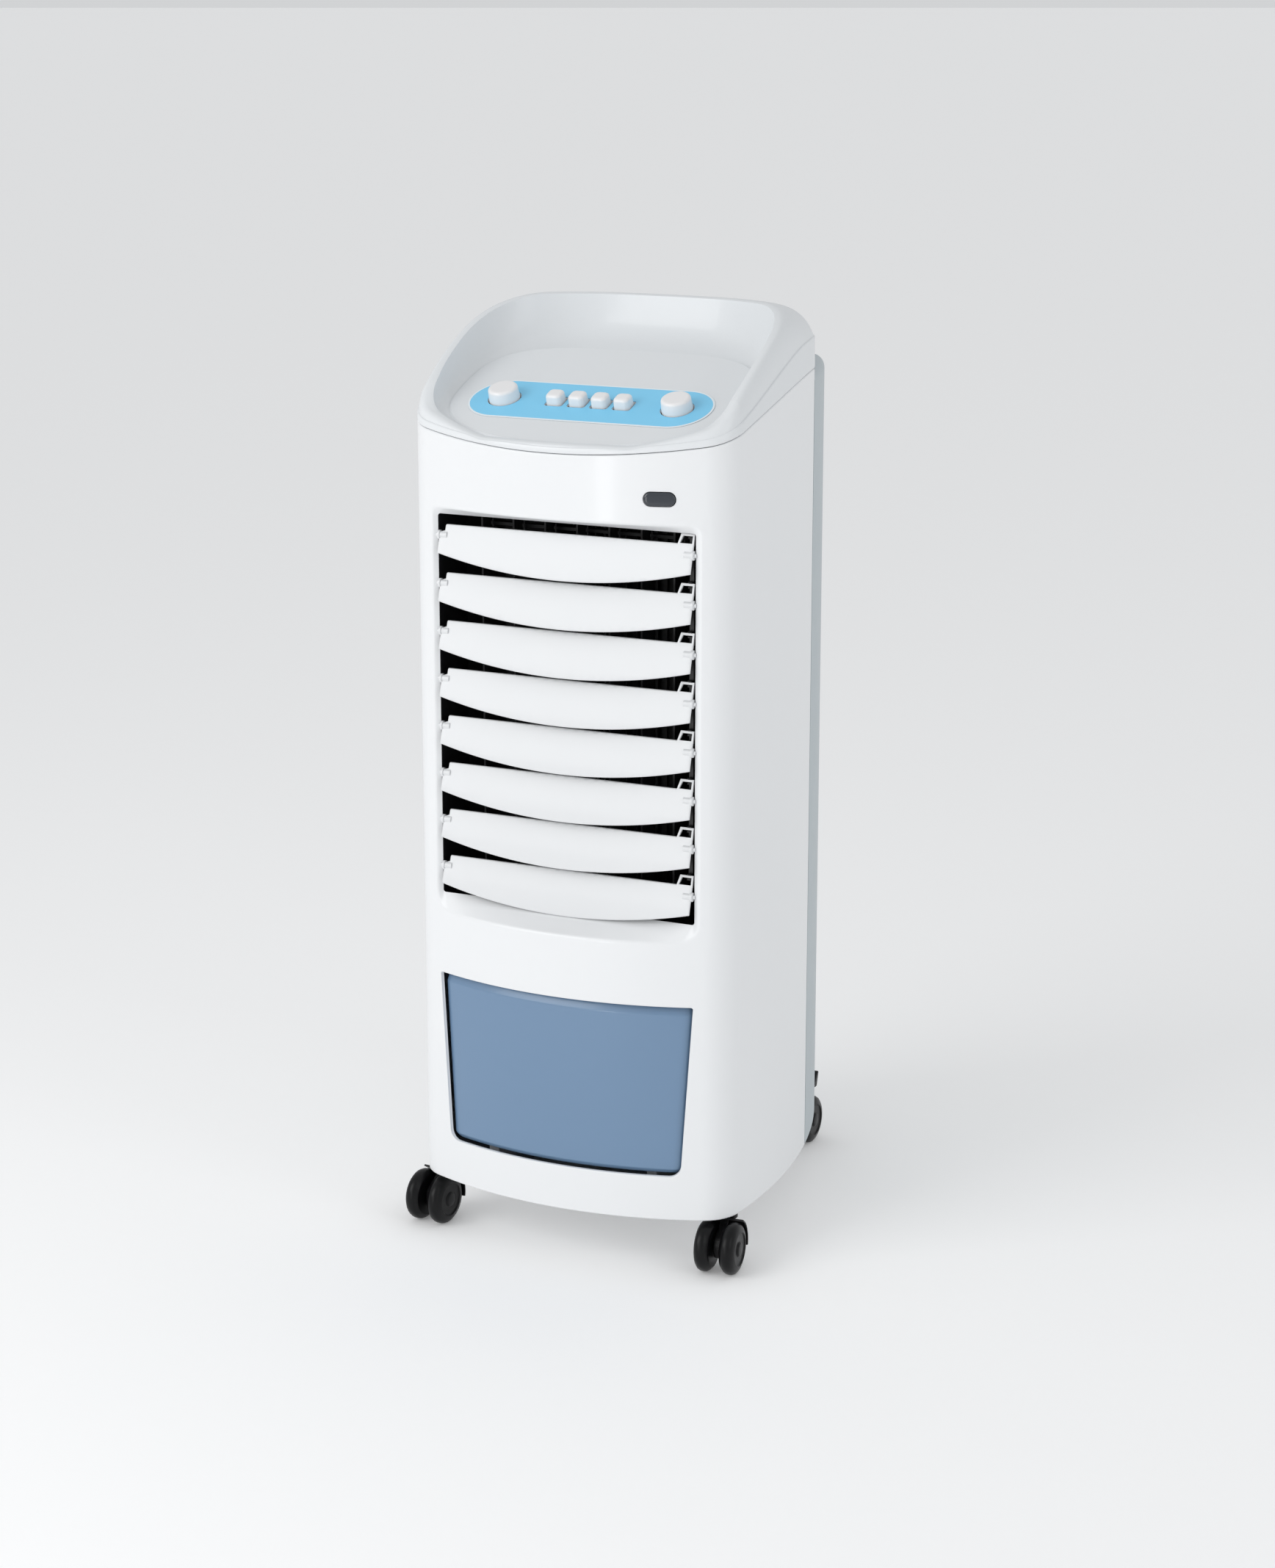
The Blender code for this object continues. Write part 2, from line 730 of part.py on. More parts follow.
def clip_outline():
    """A C that holds the loop's bar, open to the front."""
    start, end = math.radians(-125), math.radians(125)
    ring = [(CLIP_OUTER * math.cos(start), CLIP_OUTER * math.sin(start))]
    ring += arc((0, 0), CLIP_OUTER, start, end, 8)
    hole = [(CLIP_INNER * math.cos(end), CLIP_INNER * math.sin(end))]
    return ring + hole + arc((0, 0), CLIP_INNER, end, start, 6)


def louvre_link(made):
    """Upright rod behind the louvres, with one clip for each of them."""
    reach = (LOUVRE_COUNT - 1) * LOUVRE_PITCH
    rod = box("louvre_link", (-0.0016, 0.0016), (0.0020, 0.0042), (-reach - 0.003, 0.002))
    clips = []
    for i in range(LOUVRE_COUNT):
        clips.append(plate("clip", clip_outline(), -0.0015, 0.0015, (0, 0, -i * LOUVRE_PITCH)))
    join(rod, *clips)
    rod.location = link_place()
    return finish(rod, made)


def link_place():
    y = at(LOUVRE_DEPTH) + LINK_ARM * math.cos(LOUVRE_TILT)
    return (LINK_X, y, LOUVRE_TOP_Z + LINK_ARM * math.sin(LOUVRE_TILT))


# ---- air duct, vanes and fan ----------------------------------------------------------


def wall_strip(line, thick):
    """Closed plan of a wall that follows a line, thickened to its left."""
    outer = []
    for i, point in enumerate(line):
        before, after = line[max(i - 1, 0)], line[min(i + 1, len(line) - 1)]
        run = Vector((after[0] - before[0], after[1] - before[1])).normalized()
        outer.append((point[0] - run.y * thick, point[1] + run.x * thick))
    return line + list(reversed(outer))


def guide_line():
    """Left wall: from the outlet, wrapping behind the drum with a growing radius."""
    centre = (0.0, at(DRUM_DEPTH))
    line = [(-DUCT_HALF, at(DUCT_FRONT_DEPTH)), (-DUCT_HALF, at(0.066)), (-0.086, at(0.096))]
    for i in range(9):
        turn = math.radians(200 - 14 * i)
        radius = 0.066 - 0.0019 * i
        line.append((centre[0] + radius * math.cos(turn), centre[1] + radius * math.sin(turn)))
    return line


def tongue_line():
    """Right wall: from the tongue beside the drum to the outlet."""
    centre = (0.0, at(DRUM_DEPTH))
    line = []
    for degrees in (10, -8, -24):
        turn = math.radians(degrees)
        line.append((centre[0] + 0.0495 * math.cos(turn), centre[1] + 0.0495 * math.sin(turn)))
    line += [(0.064, at(0.096)), (0.092, at(0.080)), (DUCT_HALF, at(0.068))]
    return line + [(DUCT_HALF, at(DUCT_FRONT_DEPTH))]


def fan_housing(made):
    """Floor, roof and two curved walls that carry the air from the drum to the louvres."""
    half = RECESS_HALF + 0.0024
    plan = [(-half, at(DUCT_FRONT_DEPTH)), (half, at(DUCT_FRONT_DEPTH)), (half, at(0.100))]
    plan += [(0.072, at(DUCT_BACK_DEPTH)), (-0.072, at(DUCT_BACK_DEPTH)), (-half, at(0.120))]
    floor = prism("fan_housing", plan, DUCT_LOW - DUCT_SKIN, DUCT_LOW)
    roof = prism("roof", plan, DUCT_HIGH, DUCT_HIGH + DUCT_SKIN)
    low, high = DUCT_LOW - 0.001, DUCT_HIGH + 0.001
    left = prism("guide", wall_strip(guide_line(), 0.0022), low, high)
    right = prism("tongue", wall_strip(tongue_line(), 0.0022), low, high)
    join(floor, roof, left, right)
    through = (DUCT_LOW - 0.01, DUCT_HIGH + 0.01)
    holes = [prism("hole", circle(0.005, 10, (0, at(DRUM_DEPTH))), *through)]
    for x in vane_xs():
        holes.append(prism("hole", circle(0.0022, 8, (x, at(VANE_DEPTH))), *through))
    crank = circle(0.0034, 8, (CRANK_X, at(VANE_DEPTH)))
    holes.append(prism("hole", crank, DUCT_HIGH - 0.001, DUCT_HIGH + 0.01))
    return finish(cut(floor, *holes), made, False)


def blower_wheel(made):
    """Cross-flow drum: curved blades between end discs, on one shaft."""
    low, high = DUCT_LOW + 0.006, DUCT_HIGH - 0.006
    discs = []
    for z in (low, (low + high) / 2, high):
        discs.append(prism("disc", circle(DRUM_RADIUS, 24), z - 0.0012, z + 0.0012))
    blades = []
    for i in range(DRUM_BLADES):
        turn = 2 * math.pi * i / DRUM_BLADES
        line = [(0.0362, -0.0022), (0.0405, -0.0006), (0.0440, 0.0026)]
        strip = wall_strip(line, 0.0012)
        spin = Matrix.Rotation(turn, 2)
        points = [tuple(spin @ Vector(point)) for point in strip]
        blades.append(prism("blade", points, low - 0.0006, high + 0.0006))
    shaft = prism("shaft", circle(0.003, 8), DUCT_LOW - 0.0015, DUCT_HIGH + 0.012)
    wheel = discs[0]
    wheel.name = "blower_wheel"
    join(wheel, *discs[1:], shaft, *blades)
    wheel.location = (0, at(DRUM_DEPTH), 0)
    return finish(wheel, made, False)


def fan_motor(made):
    low = DUCT_HIGH + DUCT_SKIN + 0.0003
    profile = [(low, 0.0), (low, 0.030), (low + 0.022, 0.030), (low + 0.028, 0.024)]
    profile += [(low + 0.032, 0.010), (low + 0.032, 0.0)]
    motor = turned("fan_motor", profile, 20, "Z", (0, at(DRUM_DEPTH), 0))
    bore = prism("bore", circle(0.0036, 8, (0, at(DRUM_DEPTH))), low - 0.002, low + 0.014)
    return finish(cut(motor, bore), made)


def vane_xs():
    return [VANE_PITCH * (i - (VANE_COUNT - 1) / 2) for i in range(VANE_COUNT)]


def vane_outline():
    """Side view of a vane, y and z: a tall plate with a notch for the link."""
    low, high = DUCT_LOW + 0.002, DUCT_HIGH - 0.002
    notch_low, notch_high = high - 0.016, high - 0.008
    front, back, notch = -0.007, 0.015, 0.006
    lower = [(front, low), (back, low), (back, notch_low), (notch, notch_low)]
    return lower + [(notch, notch_high), (back, notch_high), (back, high), (front, high)]


def vanes(made):
    low, high = DUCT_LOW + 0.002, DUCT_HIGH - 0.002
    first = plate("vane_1", vane_outline(), -0.0007, 0.0007)
    parts = [prism("link_pin", circle(0.0010, 6, (0.0, VANE_PIN_REACH)), high - 0.0170, high - 0.0070)]
    for ends in ((low - 0.0032, low + 0.002), (high - 0.002, high + 0.0032)):
        parts.append(prism("pin", circle(0.0018, 8), *ends))
    finish(join(first, *parts), made, False)
    places = [(x, at(VANE_DEPTH), 0) for x in vane_xs()]
    first.location = places[0]
    for i in range(1, VANE_COUNT):
        copy_of(first, f"vane_{i + 1}", places[i])


def vane_link(made):
    """Bar that keeps the vanes and the swing crank parallel."""
    first = vane_xs()[0]
    low = DUCT_HIGH - 0.0154
    start, end = -0.003, CRANK_X - first + 0.003
    bar = box("vane_link", (start, end), (-0.0026, 0.0026), (low, low + 0.0024))
    holes = []
    for x in vane_xs() + [CRANK_X]:
        holes.append(prism("hole", circle(0.0015, 8, (x - first, 0)), low - 0.002, low + 0.004))
    cut(bar, *holes)
    bar.location = (first, at(VANE_DEPTH) + VANE_PIN_REACH, 0)
    return finish(bar, made, False)


def swing_crank(made):
    """Arm under the duct roof, turned by the swing motor."""
    high = DUCT_HIGH - 0.0006
    arm = prism("swing_crank", stadium(0.0090, 0.0030, 4), high - 0.0030, high)
    arm.rotation_euler = (0, 0, math.pi / 2)
    for vertex in arm.data.vertices:
        vertex.co.x += VANE_PIN_REACH / 2
    pin = prism("pin", circle(0.0010, 6, (0, VANE_PIN_REACH)), high - 0.0190, high - 0.0010)
    shaft = prism("shaft", circle(0.0028, 8), high - 0.002, DUCT_HIGH + DUCT_SKIN + 0.008)
    join(arm, pin, shaft)
    arm.location = (CRANK_X, at(VANE_DEPTH), 0)
    return finish(arm, made, False)


def swing_motor(made):
    low = DUCT_HIGH + DUCT_SKIN + 0.0003
    profile = [(low, 0.0), (low, 0.0135), (low + 0.017, 0.0135), (low + 0.017, 0.0)]
    motor = turned("swing_motor", profile, 16, "Z", (CRANK_X, at(VANE_DEPTH), 0))
    bore = prism("bore", circle(0.0034, 8, (CRANK_X, at(VANE_DEPTH))), low - 0.002, low + 0.009)
    return finish(cut(motor, bore), made)


# ---- water side -----------------------------------------------------------------------


def tank_half(z, shrink):
    """Half width of the tank's front at a height, following the window's slant."""
    share = (z - WINDOW_LOW) / (WINDOW_HIGH - WINDOW_LOW)
    return WINDOW_HALF_LOW + share * (WINDOW_HALF_HIGH - WINDOW_HALF_LOW) - shrink


def tank_loop(z, shrink, face):
    """Plan of the tank at a height: the bow in front, straight sides, a narrower back."""
    half = tank_half(z, shrink)
    bow = [(half * i / 5, bow_y(half * i / 5, face)) for i in range(-5, 6)]
    back = at(TANK_BACK_DEPTH) - (shrink - TANK_GAP)
    narrow = half - 0.013
    sides = [(half, at(0.175)), (narrow, back), (-narrow, back), (-half, at(0.175))]
    return [(x, y, z) for x, y in bow + sides]


def water_tank(made):
    low, high = WINDOW_LOW + TANK_GAP, WINDOW_HIGH - TANK_GAP
    outer = [tank_loop(low, TANK_GAP + 0.004, 0.0072), tank_loop(low + 0.006, TANK_GAP, 0.0040)]
    outer += [tank_loop(high, TANK_GAP, 0.0040)]
    tank = loft("water_tank", outer)
    inner = [tank_loop(low + TANK_WALL, TANK_GAP + 0.0064, 0.0096)]
    inner += [tank_loop(low + 0.0075, TANK_GAP + TANK_WALL, 0.0040 + TANK_WALL)]
    inner += [tank_loop(high + 0.01, TANK_GAP + TANK_WALL, 0.0040 + TANK_WALL)]
    return finish(cut(tank, loft("inside", inner)), made, False)


def partition(made):
    """Shelf over the tank, with a slot under the cooling pad for the water to run back."""
    shelf = prism("partition", outline(WALL + GAP), PARTITION_Z, PARTITION_Z + PARTITION_THICK)
    through = (PARTITION_Z - 0.01, PARTITION_Z + 0.01)
    slot = box("slot", (-0.075, 0.075), (at(0.246), at(0.268)), through)
    hole = prism("hole", circle(HOSE_RADIUS + 0.002, 10, (HOSE_X, at(PUMP_DEPTH))), *through)
    return finish(cut(shelf, slot, hole), made, False)



def water_pump(made):
    """Submersible pump on a neck that hangs from the shelf."""
    plan = rounded(0.040, 0.076, at(PUMP_DEPTH - 0.018), at(PUMP_DEPTH + 0.018), 0.005, 0.005, 2)
    body = prism("water_pump", plan, 0.084, 0.126)
    neck = box("neck", (0.0425, 0.0485), (at(0.108), at(0.128)), (0.120, PARTITION_Z - GAP))
    spigot = prism("spigot", circle(HOSE_RADIUS, 10, (HOSE_X, at(PUMP_DEPTH))), 0.122, 0.134)
    return finish(join(body, neck, spigot), made)


def rounded_path(corners, radius, steps=4):
    """Straight runs between corners, with a round bend at each inner corner."""
    path = [Vector(corners[0])]
    for before, corner, after in zip(corners, corners[1:], corners[2:]):
        corner = Vector(corner)
        into = (Vector(before) - corner).normalized() * radius
        out = (Vector(after) - corner).normalized() * radius
        for i in range(steps + 1):
            t = i / steps
            path.append(corner + into * (1 - t) ** 2 + out * t**2)
    return path + [Vector(corners[-1])]


def pump_hose(made):
    """Hose from the pump, back under the duct, up in front of the pad and into the tray."""
    start, rise, drop = at(PUMP_DEPTH), at(0.232), at(0.257)
    low, top = 0.238, HOUSING_TOP - 0.0085
    corners = [(HOSE_X, start, 0.1344), (HOSE_X, start, low), (HOSE_X, rise, low)]
    corners += [(HOSE_X, rise, top), (HOSE_X, drop, top), (HOSE_X, drop, 0.628)]
    curve = bpy.data.curves.new("pump_hose", "CURVE")
    curve.dimensions = "3D"
    curve.bevel_depth = HOSE_RADIUS
    curve.bevel_resolution = 2
    curve.use_fill_caps = True
    path = rounded_path(corners, 0.012)
    spline = curve.splines.new("POLY")
    spline.points.add(len(path) - 1)
    for point, spot in zip(spline.points, path):
        point.co = (*spot, 1.0)
    hose = bpy.data.objects.new("pump_hose", curve)
    bpy.context.scene.collection.objects.link(hose)
    curve.materials.append(made)
    return hose


def distribution_tray(made):
    """Trough over the pad that spreads the pumped water."""
    near, far = at(PAD_DEPTHS[0]) - 0.0005, at(PAD_DEPTHS[1]) + 0.0005
    low, high = TRAY_HEIGHTS
    tray = box("distribution_tray", (-PAD_HALF, PAD_HALF), (near, far), (low, high))
    half = PAD_HALF - TRAY_WALL
    within = (near + TRAY_WALL, far - TRAY_WALL)
    inside = box("inside", (-half, half), within, (low + TRAY_WALL, high + 0.01))
    return finish(cut(tray, inside), made, False)


def cooling_pad(made):
    deep = (at(PAD_DEPTHS[0]), at(PAD_DEPTHS[1]))
    pad = box("cooling_pad", (-PAD_HALF, PAD_HALF), deep, PAD_HEIGHTS)
    return finish(pad, made, False)


def filter_panel(made):
    """Back grille: a frame with one upright and level bars."""
    clear, deep, frame, bar, rows = 0.0005, 0.0050, 0.008, 0.0045, 18
    half = FILTER_HALF - clear
    low, high = FILTER_LOW + clear, FILTER_HIGH - clear
    near, far = at(BODY_DEPTH) - deep, at(BODY_DEPTH) + 0.0006
    panel = box("filter_panel", (-half, half), (near, far), (low, high))
    pitch = (high - low - 2 * frame + bar) / rows
    tools = []
    for i in range(rows):
        z = low + frame + i * pitch
        for side in (-1, 1):
            across = sorted((side * 0.002, side * (half - frame)))
            tools.append(box("cell", across, (near - 0.01, far + 0.01), (z, z + pitch - bar)))
    return finish(cut(panel, *tools), made, False)


def filter_mesh(made):
    half = FILTER_HALF - 0.003
    back = at(BODY_DEPTH) - 0.0053
    up = (FILTER_LOW + 0.003, FILTER_HIGH - 0.003)
    return finish(box("filter_mesh", (-half, half), (back - 0.0015, back), up), made, False)


# ---- casters --------------------------------------------------------------------------


def hood_outline():
    """Side view of the web between the wheels, y towards the stem."""
    return [
        (-0.0255, 0.0190), (-0.0235, 0.0125), (-0.0190, 0.0105), (-0.0120, 0.0125),
        (0.0010, 0.0215), (0.0060, 0.0300), (0.0070, 0.0400), (-0.0070, 0.0400),
        (-0.0100, 0.0345), (-0.0190, 0.0290), (-0.0240, 0.0250),
    ]


def fender_outline():
    """Side view of the fender that wraps the wheels on the stem's side."""
    start, end, inner, outer = math.radians(-12), math.radians(58), 0.0205, 0.0220
    centre = (-TRAIL, AXLE_Z)
    first = (centre[0] + outer * math.cos(start), centre[1] + outer * math.sin(start))
    last = (centre[0] + inner * math.cos(end), centre[1] + inner * math.sin(end))
    rim = [first] + arc(centre, outer, start, end, 5)
    return rim + [last] + arc(centre, inner, end, start, 5)


def caster_fork(name, made, braked):
    """Hood with its stem; the wheels trail towards its own -Y."""
    web = plate(name, hood_outline(), -0.0033, 0.0033)
    fender = plate("fender", fender_outline(), -0.0150, 0.0150)
    boss = prism("boss", circle(0.0072, 12), 0.0372, BASE_Z - 0.0008)
    stem = prism("stem", circle(STEM_RADIUS, 10), 0.036, BASE_Z + 0.009)
    tools = [fender, boss, stem]
    if braked:
        lug = [(-0.0255, 0.020), (-0.0195, 0.020), (-0.0215, 0.0405), (-0.0235, 0.0432)]
        lug += [(-0.0272, 0.0432), (-0.0290, 0.0405)]
        tools.append(plate("lug", lug, -0.0022, 0.0022))
        tools.append(plate("lever_pin", circle(0.0012, 8, LEVER_PIVOT), -0.0052, 0.0052))
    join(web, *tools)
    cut(web, plate("axle_hole", circle(0.0026, 10, (-TRAIL, AXLE_Z)), -0.02, 0.02))
    return finish(web, made)


def caster_wheels(name, made):
    """Two wheels on one axle, turned as one piece."""
    side = [(WHEEL_HALF, 0.0), (WHEEL_HALF - 0.0015, 0.0125), (WHEEL_HALF - 0.0045, WHEEL_RADIUS)]
    side += [(0.0052, WHEEL_RADIUS), (0.0045, 0.0180), (0.0045, 0.0021)]
    profile = side + [(-x, r) for x, r in reversed(side)]
    return finish(turned(name, profile, WHEEL_SIDES, "X"), made)


def brake_lever(name, made):
    """Tab with two cheeks on the lug's pin; pressing it down locks the wheels."""
    y, z = LEVER_PIVOT
    tab = [(y + 0.0018, z + 0.0030), (y - 0.0052, z + 0.0152), (y - 0.0082, z + 0.0152)]
    tab += [(y - 0.0044, z + 0.0030)]
    lever = plate(name, tab, -0.0062, 0.0062)
    cheeks = []
    for side in (-1, 1):
        outline_yz = [(y - 0.0028, z - 0.0018), (y + 0.0028, z - 0.0018), (y + 0.0024, z + 0.0050)]
        outline_yz += [(y - 0.0050, z + 0.0050)]
        cheeks.append(plate("cheek", outline_yz, *sorted((side * 0.0027, side * 0.0062))))
    join(lever, *cheeks)
    cut(lever, plate("hole", circle(0.0015, 8, LEVER_PIVOT), -0.02, 0.02))
    return finish(lever, made)


def shift_mesh(obj, offset):
    for vertex in obj.data.vertices:
        vertex.co -= Vector(offset)


def casters(black, grey):
    """Each caster: fork on its stem's axis, wheels on their axle, lever on its pin."""
    names = ("front_left", "front_right", "rear_left", "rear_right")
    for name, (x, y) in zip(names, stem_places()):
        braked = name.startswith("rear")
        turn = math.pi if braked else math.copysign(FRONT_TOE, x)
        fork = caster_fork(f"caster_fork_{name}", black, braked)
        fork.location, fork.rotation_euler = (x, y, 0), (0, 0, turn)
        spin = Matrix.Rotation(turn, 3, "Z")
        wheels = caster_wheels(f"caster_wheels_{name}", grey)
        wheels.location = Vector((x, y, 0)) + spin @ Vector((0, -TRAIL, AXLE_Z))
        wheels.rotation_euler = (0, 0, turn)
        if braked:
            lever = brake_lever(f"brake_lever_{name}", black)
            shift_mesh(lever, (0, *LEVER_PIVOT))
            lever.location = Vector((x, y, 0)) + spin @ Vector((0, *LEVER_PIVOT))
            lever.rotation_euler = (0, 0, turn)


# ---- the whole cooler -----------------------------------------------------------------


def build():
    clear_scene()
    white = material("white_plastic", (0.88, 0.89, 0.90), 0.32)
    panel = material("cover_grey", (0.72, 0.74, 0.76), 0.36)
    grey = material("rear_grey", (0.46, 0.51, 0.53), 0.40)
    inner = material("inner_white", (0.80, 0.81, 0.82), 0.45)
    dark = material("duct_black", (0.02, 0.02, 0.022), 0.55)
    black = material("caster_black", (0.012, 0.012, 0.013), 0.40)
    tyre = material("wheel_black", (0.016, 0.016, 0.017), 0.45)
    blue = material("label_blue", (0.19, 0.58, 0.85), 0.40)
    lens = material("lens_smoke", (0.06, 0.07, 0.09), 0.12)
    tank = material("tank_blue", (0.17, 0.27, 0.42), 0.20)
    steel = material("motor_steel", (0.55, 0.56, 0.58), 0.35, 0.9)
    pad = material("pad_cellulose", (0.42, 0.32, 0.16), 0.85)
    hose = material("hose_clear", (0.70, 0.74, 0.76), 0.30)
    front_shell(white)
    rear_housing(grey)
    base(inner)
    top_cover(panel)
    control_label(blue)
    indicator_lens(lens)
    cable_gland(black)
    knob("function_knob", -KNOB_X, white)
    knob("timer_knob", KNOB_X, white)
    for i, x in enumerate(button_xs()):
        push_button(f"push_button_{i + 1}", x, white)
    control_unit("selector_switch", -KNOB_X, 0.016, 0.0070, 0.026, inner)
    control_unit("timer_mechanism", KNOB_X, 0.016, 0.0070, 0.030, inner)
    control_unit("speed_switch", 0.0, 0.038, 0.0112, 0.034, dark)
    louvres(white)
    louvre_link(dark)
    fan_housing(dark)
    blower_wheel(dark)
    fan_motor(steel)
    vanes(dark)
    vane_link(dark)
    swing_crank(dark)
    swing_motor(steel)
    water_tank(tank)
    partition(inner)
    water_pump(dark)
    pump_hose(hose)
    distribution_tray(inner)
    cooling_pad(pad)
    filter_panel(grey)
    filter_mesh(dark)
    casters(black, tyre)


build()
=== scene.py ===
"""The looks of the tower evaporative cooler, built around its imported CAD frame.

Metres, +Z up, the louvred front faces -Y. Every piece sits where its CAD node is.
"""

import math

import bmesh
import bpy
from mathutils import Matrix, Vector
from mathutils.geometry import delaunay_2d_cdt


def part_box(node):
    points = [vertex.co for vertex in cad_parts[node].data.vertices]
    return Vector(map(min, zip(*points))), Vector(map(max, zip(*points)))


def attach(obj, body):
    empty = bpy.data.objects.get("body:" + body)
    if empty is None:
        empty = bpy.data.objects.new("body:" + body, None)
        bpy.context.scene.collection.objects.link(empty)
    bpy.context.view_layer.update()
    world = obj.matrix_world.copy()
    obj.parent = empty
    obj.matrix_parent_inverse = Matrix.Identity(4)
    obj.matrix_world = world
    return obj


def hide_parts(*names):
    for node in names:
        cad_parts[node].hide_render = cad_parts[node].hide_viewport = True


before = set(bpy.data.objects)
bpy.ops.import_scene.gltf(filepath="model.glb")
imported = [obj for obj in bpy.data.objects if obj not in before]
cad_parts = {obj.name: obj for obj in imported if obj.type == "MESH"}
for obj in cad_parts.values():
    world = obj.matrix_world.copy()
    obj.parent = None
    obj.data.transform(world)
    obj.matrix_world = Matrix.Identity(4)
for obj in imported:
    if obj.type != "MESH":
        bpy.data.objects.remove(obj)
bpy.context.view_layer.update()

# ---- driving dimensions, as in the CAD ------------------------------------------------

BODY_DEPTH = 0.305
FRONT_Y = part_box("front_shell")[0].y
SEAM_DEPTH = 0.202
COVER_DEPTH = 0.238
HALF_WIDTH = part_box("front_shell")[1].x
FRONT_RADIUS = 0.290
FRONT_CORNER = 0.030
SIDE_RADIUS = 0.520
WIDEST_DEPTH = 0.088
REAR_CORNER = 0.032
COVER_CORNER = 0.052
BASE_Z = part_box("front_shell")[0].z
WALL = 0.0026
GAP = 0.0004

PARTING_Z = 0.6065
PARTING_RISE = 0.0434
PARTING_POWER = 1.8
HOUSING_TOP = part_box("rear_housing")[1].z
LIP_Z = 0.614
RIM_RISE = 0.0855
RIM_START_DEPTH = 0.006
RIM_RUN = 0.200
RIM_POWER = 2.0
COVER_WALL = 0.0024
FLOOR_Z = 0.6145
FLOOR_DEPTH = 0.015
FLOOR_SLOPE = 0.38
FLOOR_MIDDLE = 0.0775
FLOOR_HALF = 0.111
FLOOR_REACH = 0.066
RIDGE_MIDDLE = 0.090
RIDGE_REACH = 0.108
RIDGE_INSET = 0.0070
TROUGH_DEEP = 0.008
PANEL_DEPTH = 0.065

RECESS_HALF = 0.1028
RECESS_FLARE = 0.0042
RECESS_LOW = 0.2676
RECESS_HIGH = 0.5534
RECESS_BACK = 0.0234
RECESS_MIDDLE = 0.41
RECESS_FLANGE = 0.0024
SILL_DROP = 0.0136
HEAD_RISE = 0.0060
MOUTH_FOOT_RADIUS = 0.016
MOUTH_HEAD_RADIUS = 0.007
MOUTH_LIP = 0.0022
SHELL_EDGE = 0.0012

LOUVRE_COUNT = 8
LOUVRE_PITCH = 0.0356
LOUVRE_TOP_Z = 0.538
LOUVRE_DEPTH = 0.0225
LOUVRE_TILT = math.radians(74)
LOUVRE_THICK = 0.0018
LOUVRE_HALF = 0.1010
LINK_ARM = 0.0142
BLADE_BOW = 0.0261
BLADE_BOW_LOSS = 0.0126
EYE_FOOT = 0.0066
EYE_LEFT = 0.0880
EYE_LEAN = 0.0024
EYE_BAR = 0.0016

DRUM_DEPTH = 0.135
DRUM_RADIUS = 0.045
DRUM_BLADES = 34

WINDOW_LOW = 0.0754
WINDOW_HIGH = 0.206
WINDOW_HALF_LOW = 0.0959
WINDOW_HALF_HIGH = 0.1036
WINDOW_FOOT_RADIUS = 0.0085
WINDOW_HEAD_RADIUS = 0.0015
WINDOW_LIP = 0.0012
TANK_GAP = 0.0009
TANK_WALL = 0.0024
TANK_FACE = 0.0040
TANK_CORNER = 0.005
TANK_STRAIGHT = 0.175
TANK_NARROWING = 0.013
TANK_BACK = 0.279

LENS_X = 0.080
LENS_Z = 0.578
LENS_HALF = 0.0114
LENS_RADIUS = 0.0049
LENS_LIP = 0.0005

KNOB_X = 0.069
KNOB_RADIUS = 0.0115
KNOB_HEIGHT = 0.0100
BUTTON_PITCH = 0.018
BUTTON_SIDE = 0.0126
BUTTON_HEIGHT = 0.0080
CONTROL_ROUND = 0.0024
LABEL_HALF = 0.096
LABEL_RADIUS = 0.0275
LABEL_BORDER = 0.0013

WHEEL_RADIUS = 0.0195
FENDER_OUTER = 0.0220
FENDER_INNER = 0.0205
TRAIL = 0.019
FRONT_TOE = math.radians(5)
FRONT_STEM = (0.1188, 0.0515)
REAR_STEM = (0.0650, 0.2960)
LEVER_PIVOT = (-0.0255, 0.0413)
LEVER_TAB_HALF = 0.0120

GRILLE_ROWS = 30
GRILLE_BORDER = 0.008
GRILLE_MIDDLE = 0.426
NET_PITCH = 0.0030
NET_WIRE = 0.00028
PAD_SHEETS = 11
PAD_WAVES = 60

CAMERA_PLACE = (1.0434, FRONT_Y - 2.0578, 0.9545)
CAMERA_LENS = 75.83
CAMERA_DOWN = math.radians(14.29)
CAMERA_ROUND = math.radians(25.35)

WHITE = (0.83, 0.84, 0.85)


# ---- plan of the casing ---------------------------------------------------------------


def at(depth):
    """The y of a depth behind the bow's foremost point."""
    return FRONT_Y + depth


def heading(start, end):
    return math.atan2(end[1] - start[1], end[0] - start[0])


def arc(centre, radius, start, end, steps):
    """Points on an arc, both ends included."""
    turn = [start + (end - start) * i / steps for i in range(steps + 1)]
    return [(centre[0] + radius * math.cos(a), centre[1] + radius * math.sin(a)) for a in turn]


FRONT_CENTRE = (0.0, FRONT_Y + FRONT_RADIUS)
SIDE_CENTRE = (HALF_WIDTH - SIDE_RADIUS, FRONT_Y + WIDEST_DEPTH)


def corner_centre():
    """Centre of the corner that touches the front arc and the side arc from inside."""
    a, b = Vector(FRONT_CENTRE), Vector(SIDE_CENTRE)
    ra, rb = FRONT_RADIUS - FRONT_CORNER, SIDE_RADIUS - FRONT_CORNER
    span = (b - a).length
    along = (ra * ra - rb * rb + span * span) / (2 * span)
    across = math.sqrt(ra * ra - along * along)
    unit = (b - a) / span
    foot = a + unit * along
    sideways = Vector((-unit.y, unit.x))
    return tuple(max((foot + s * across * sideways for s in (1, -1)), key=lambda p: p.x))


CORNER_CENTRE = corner_centre()


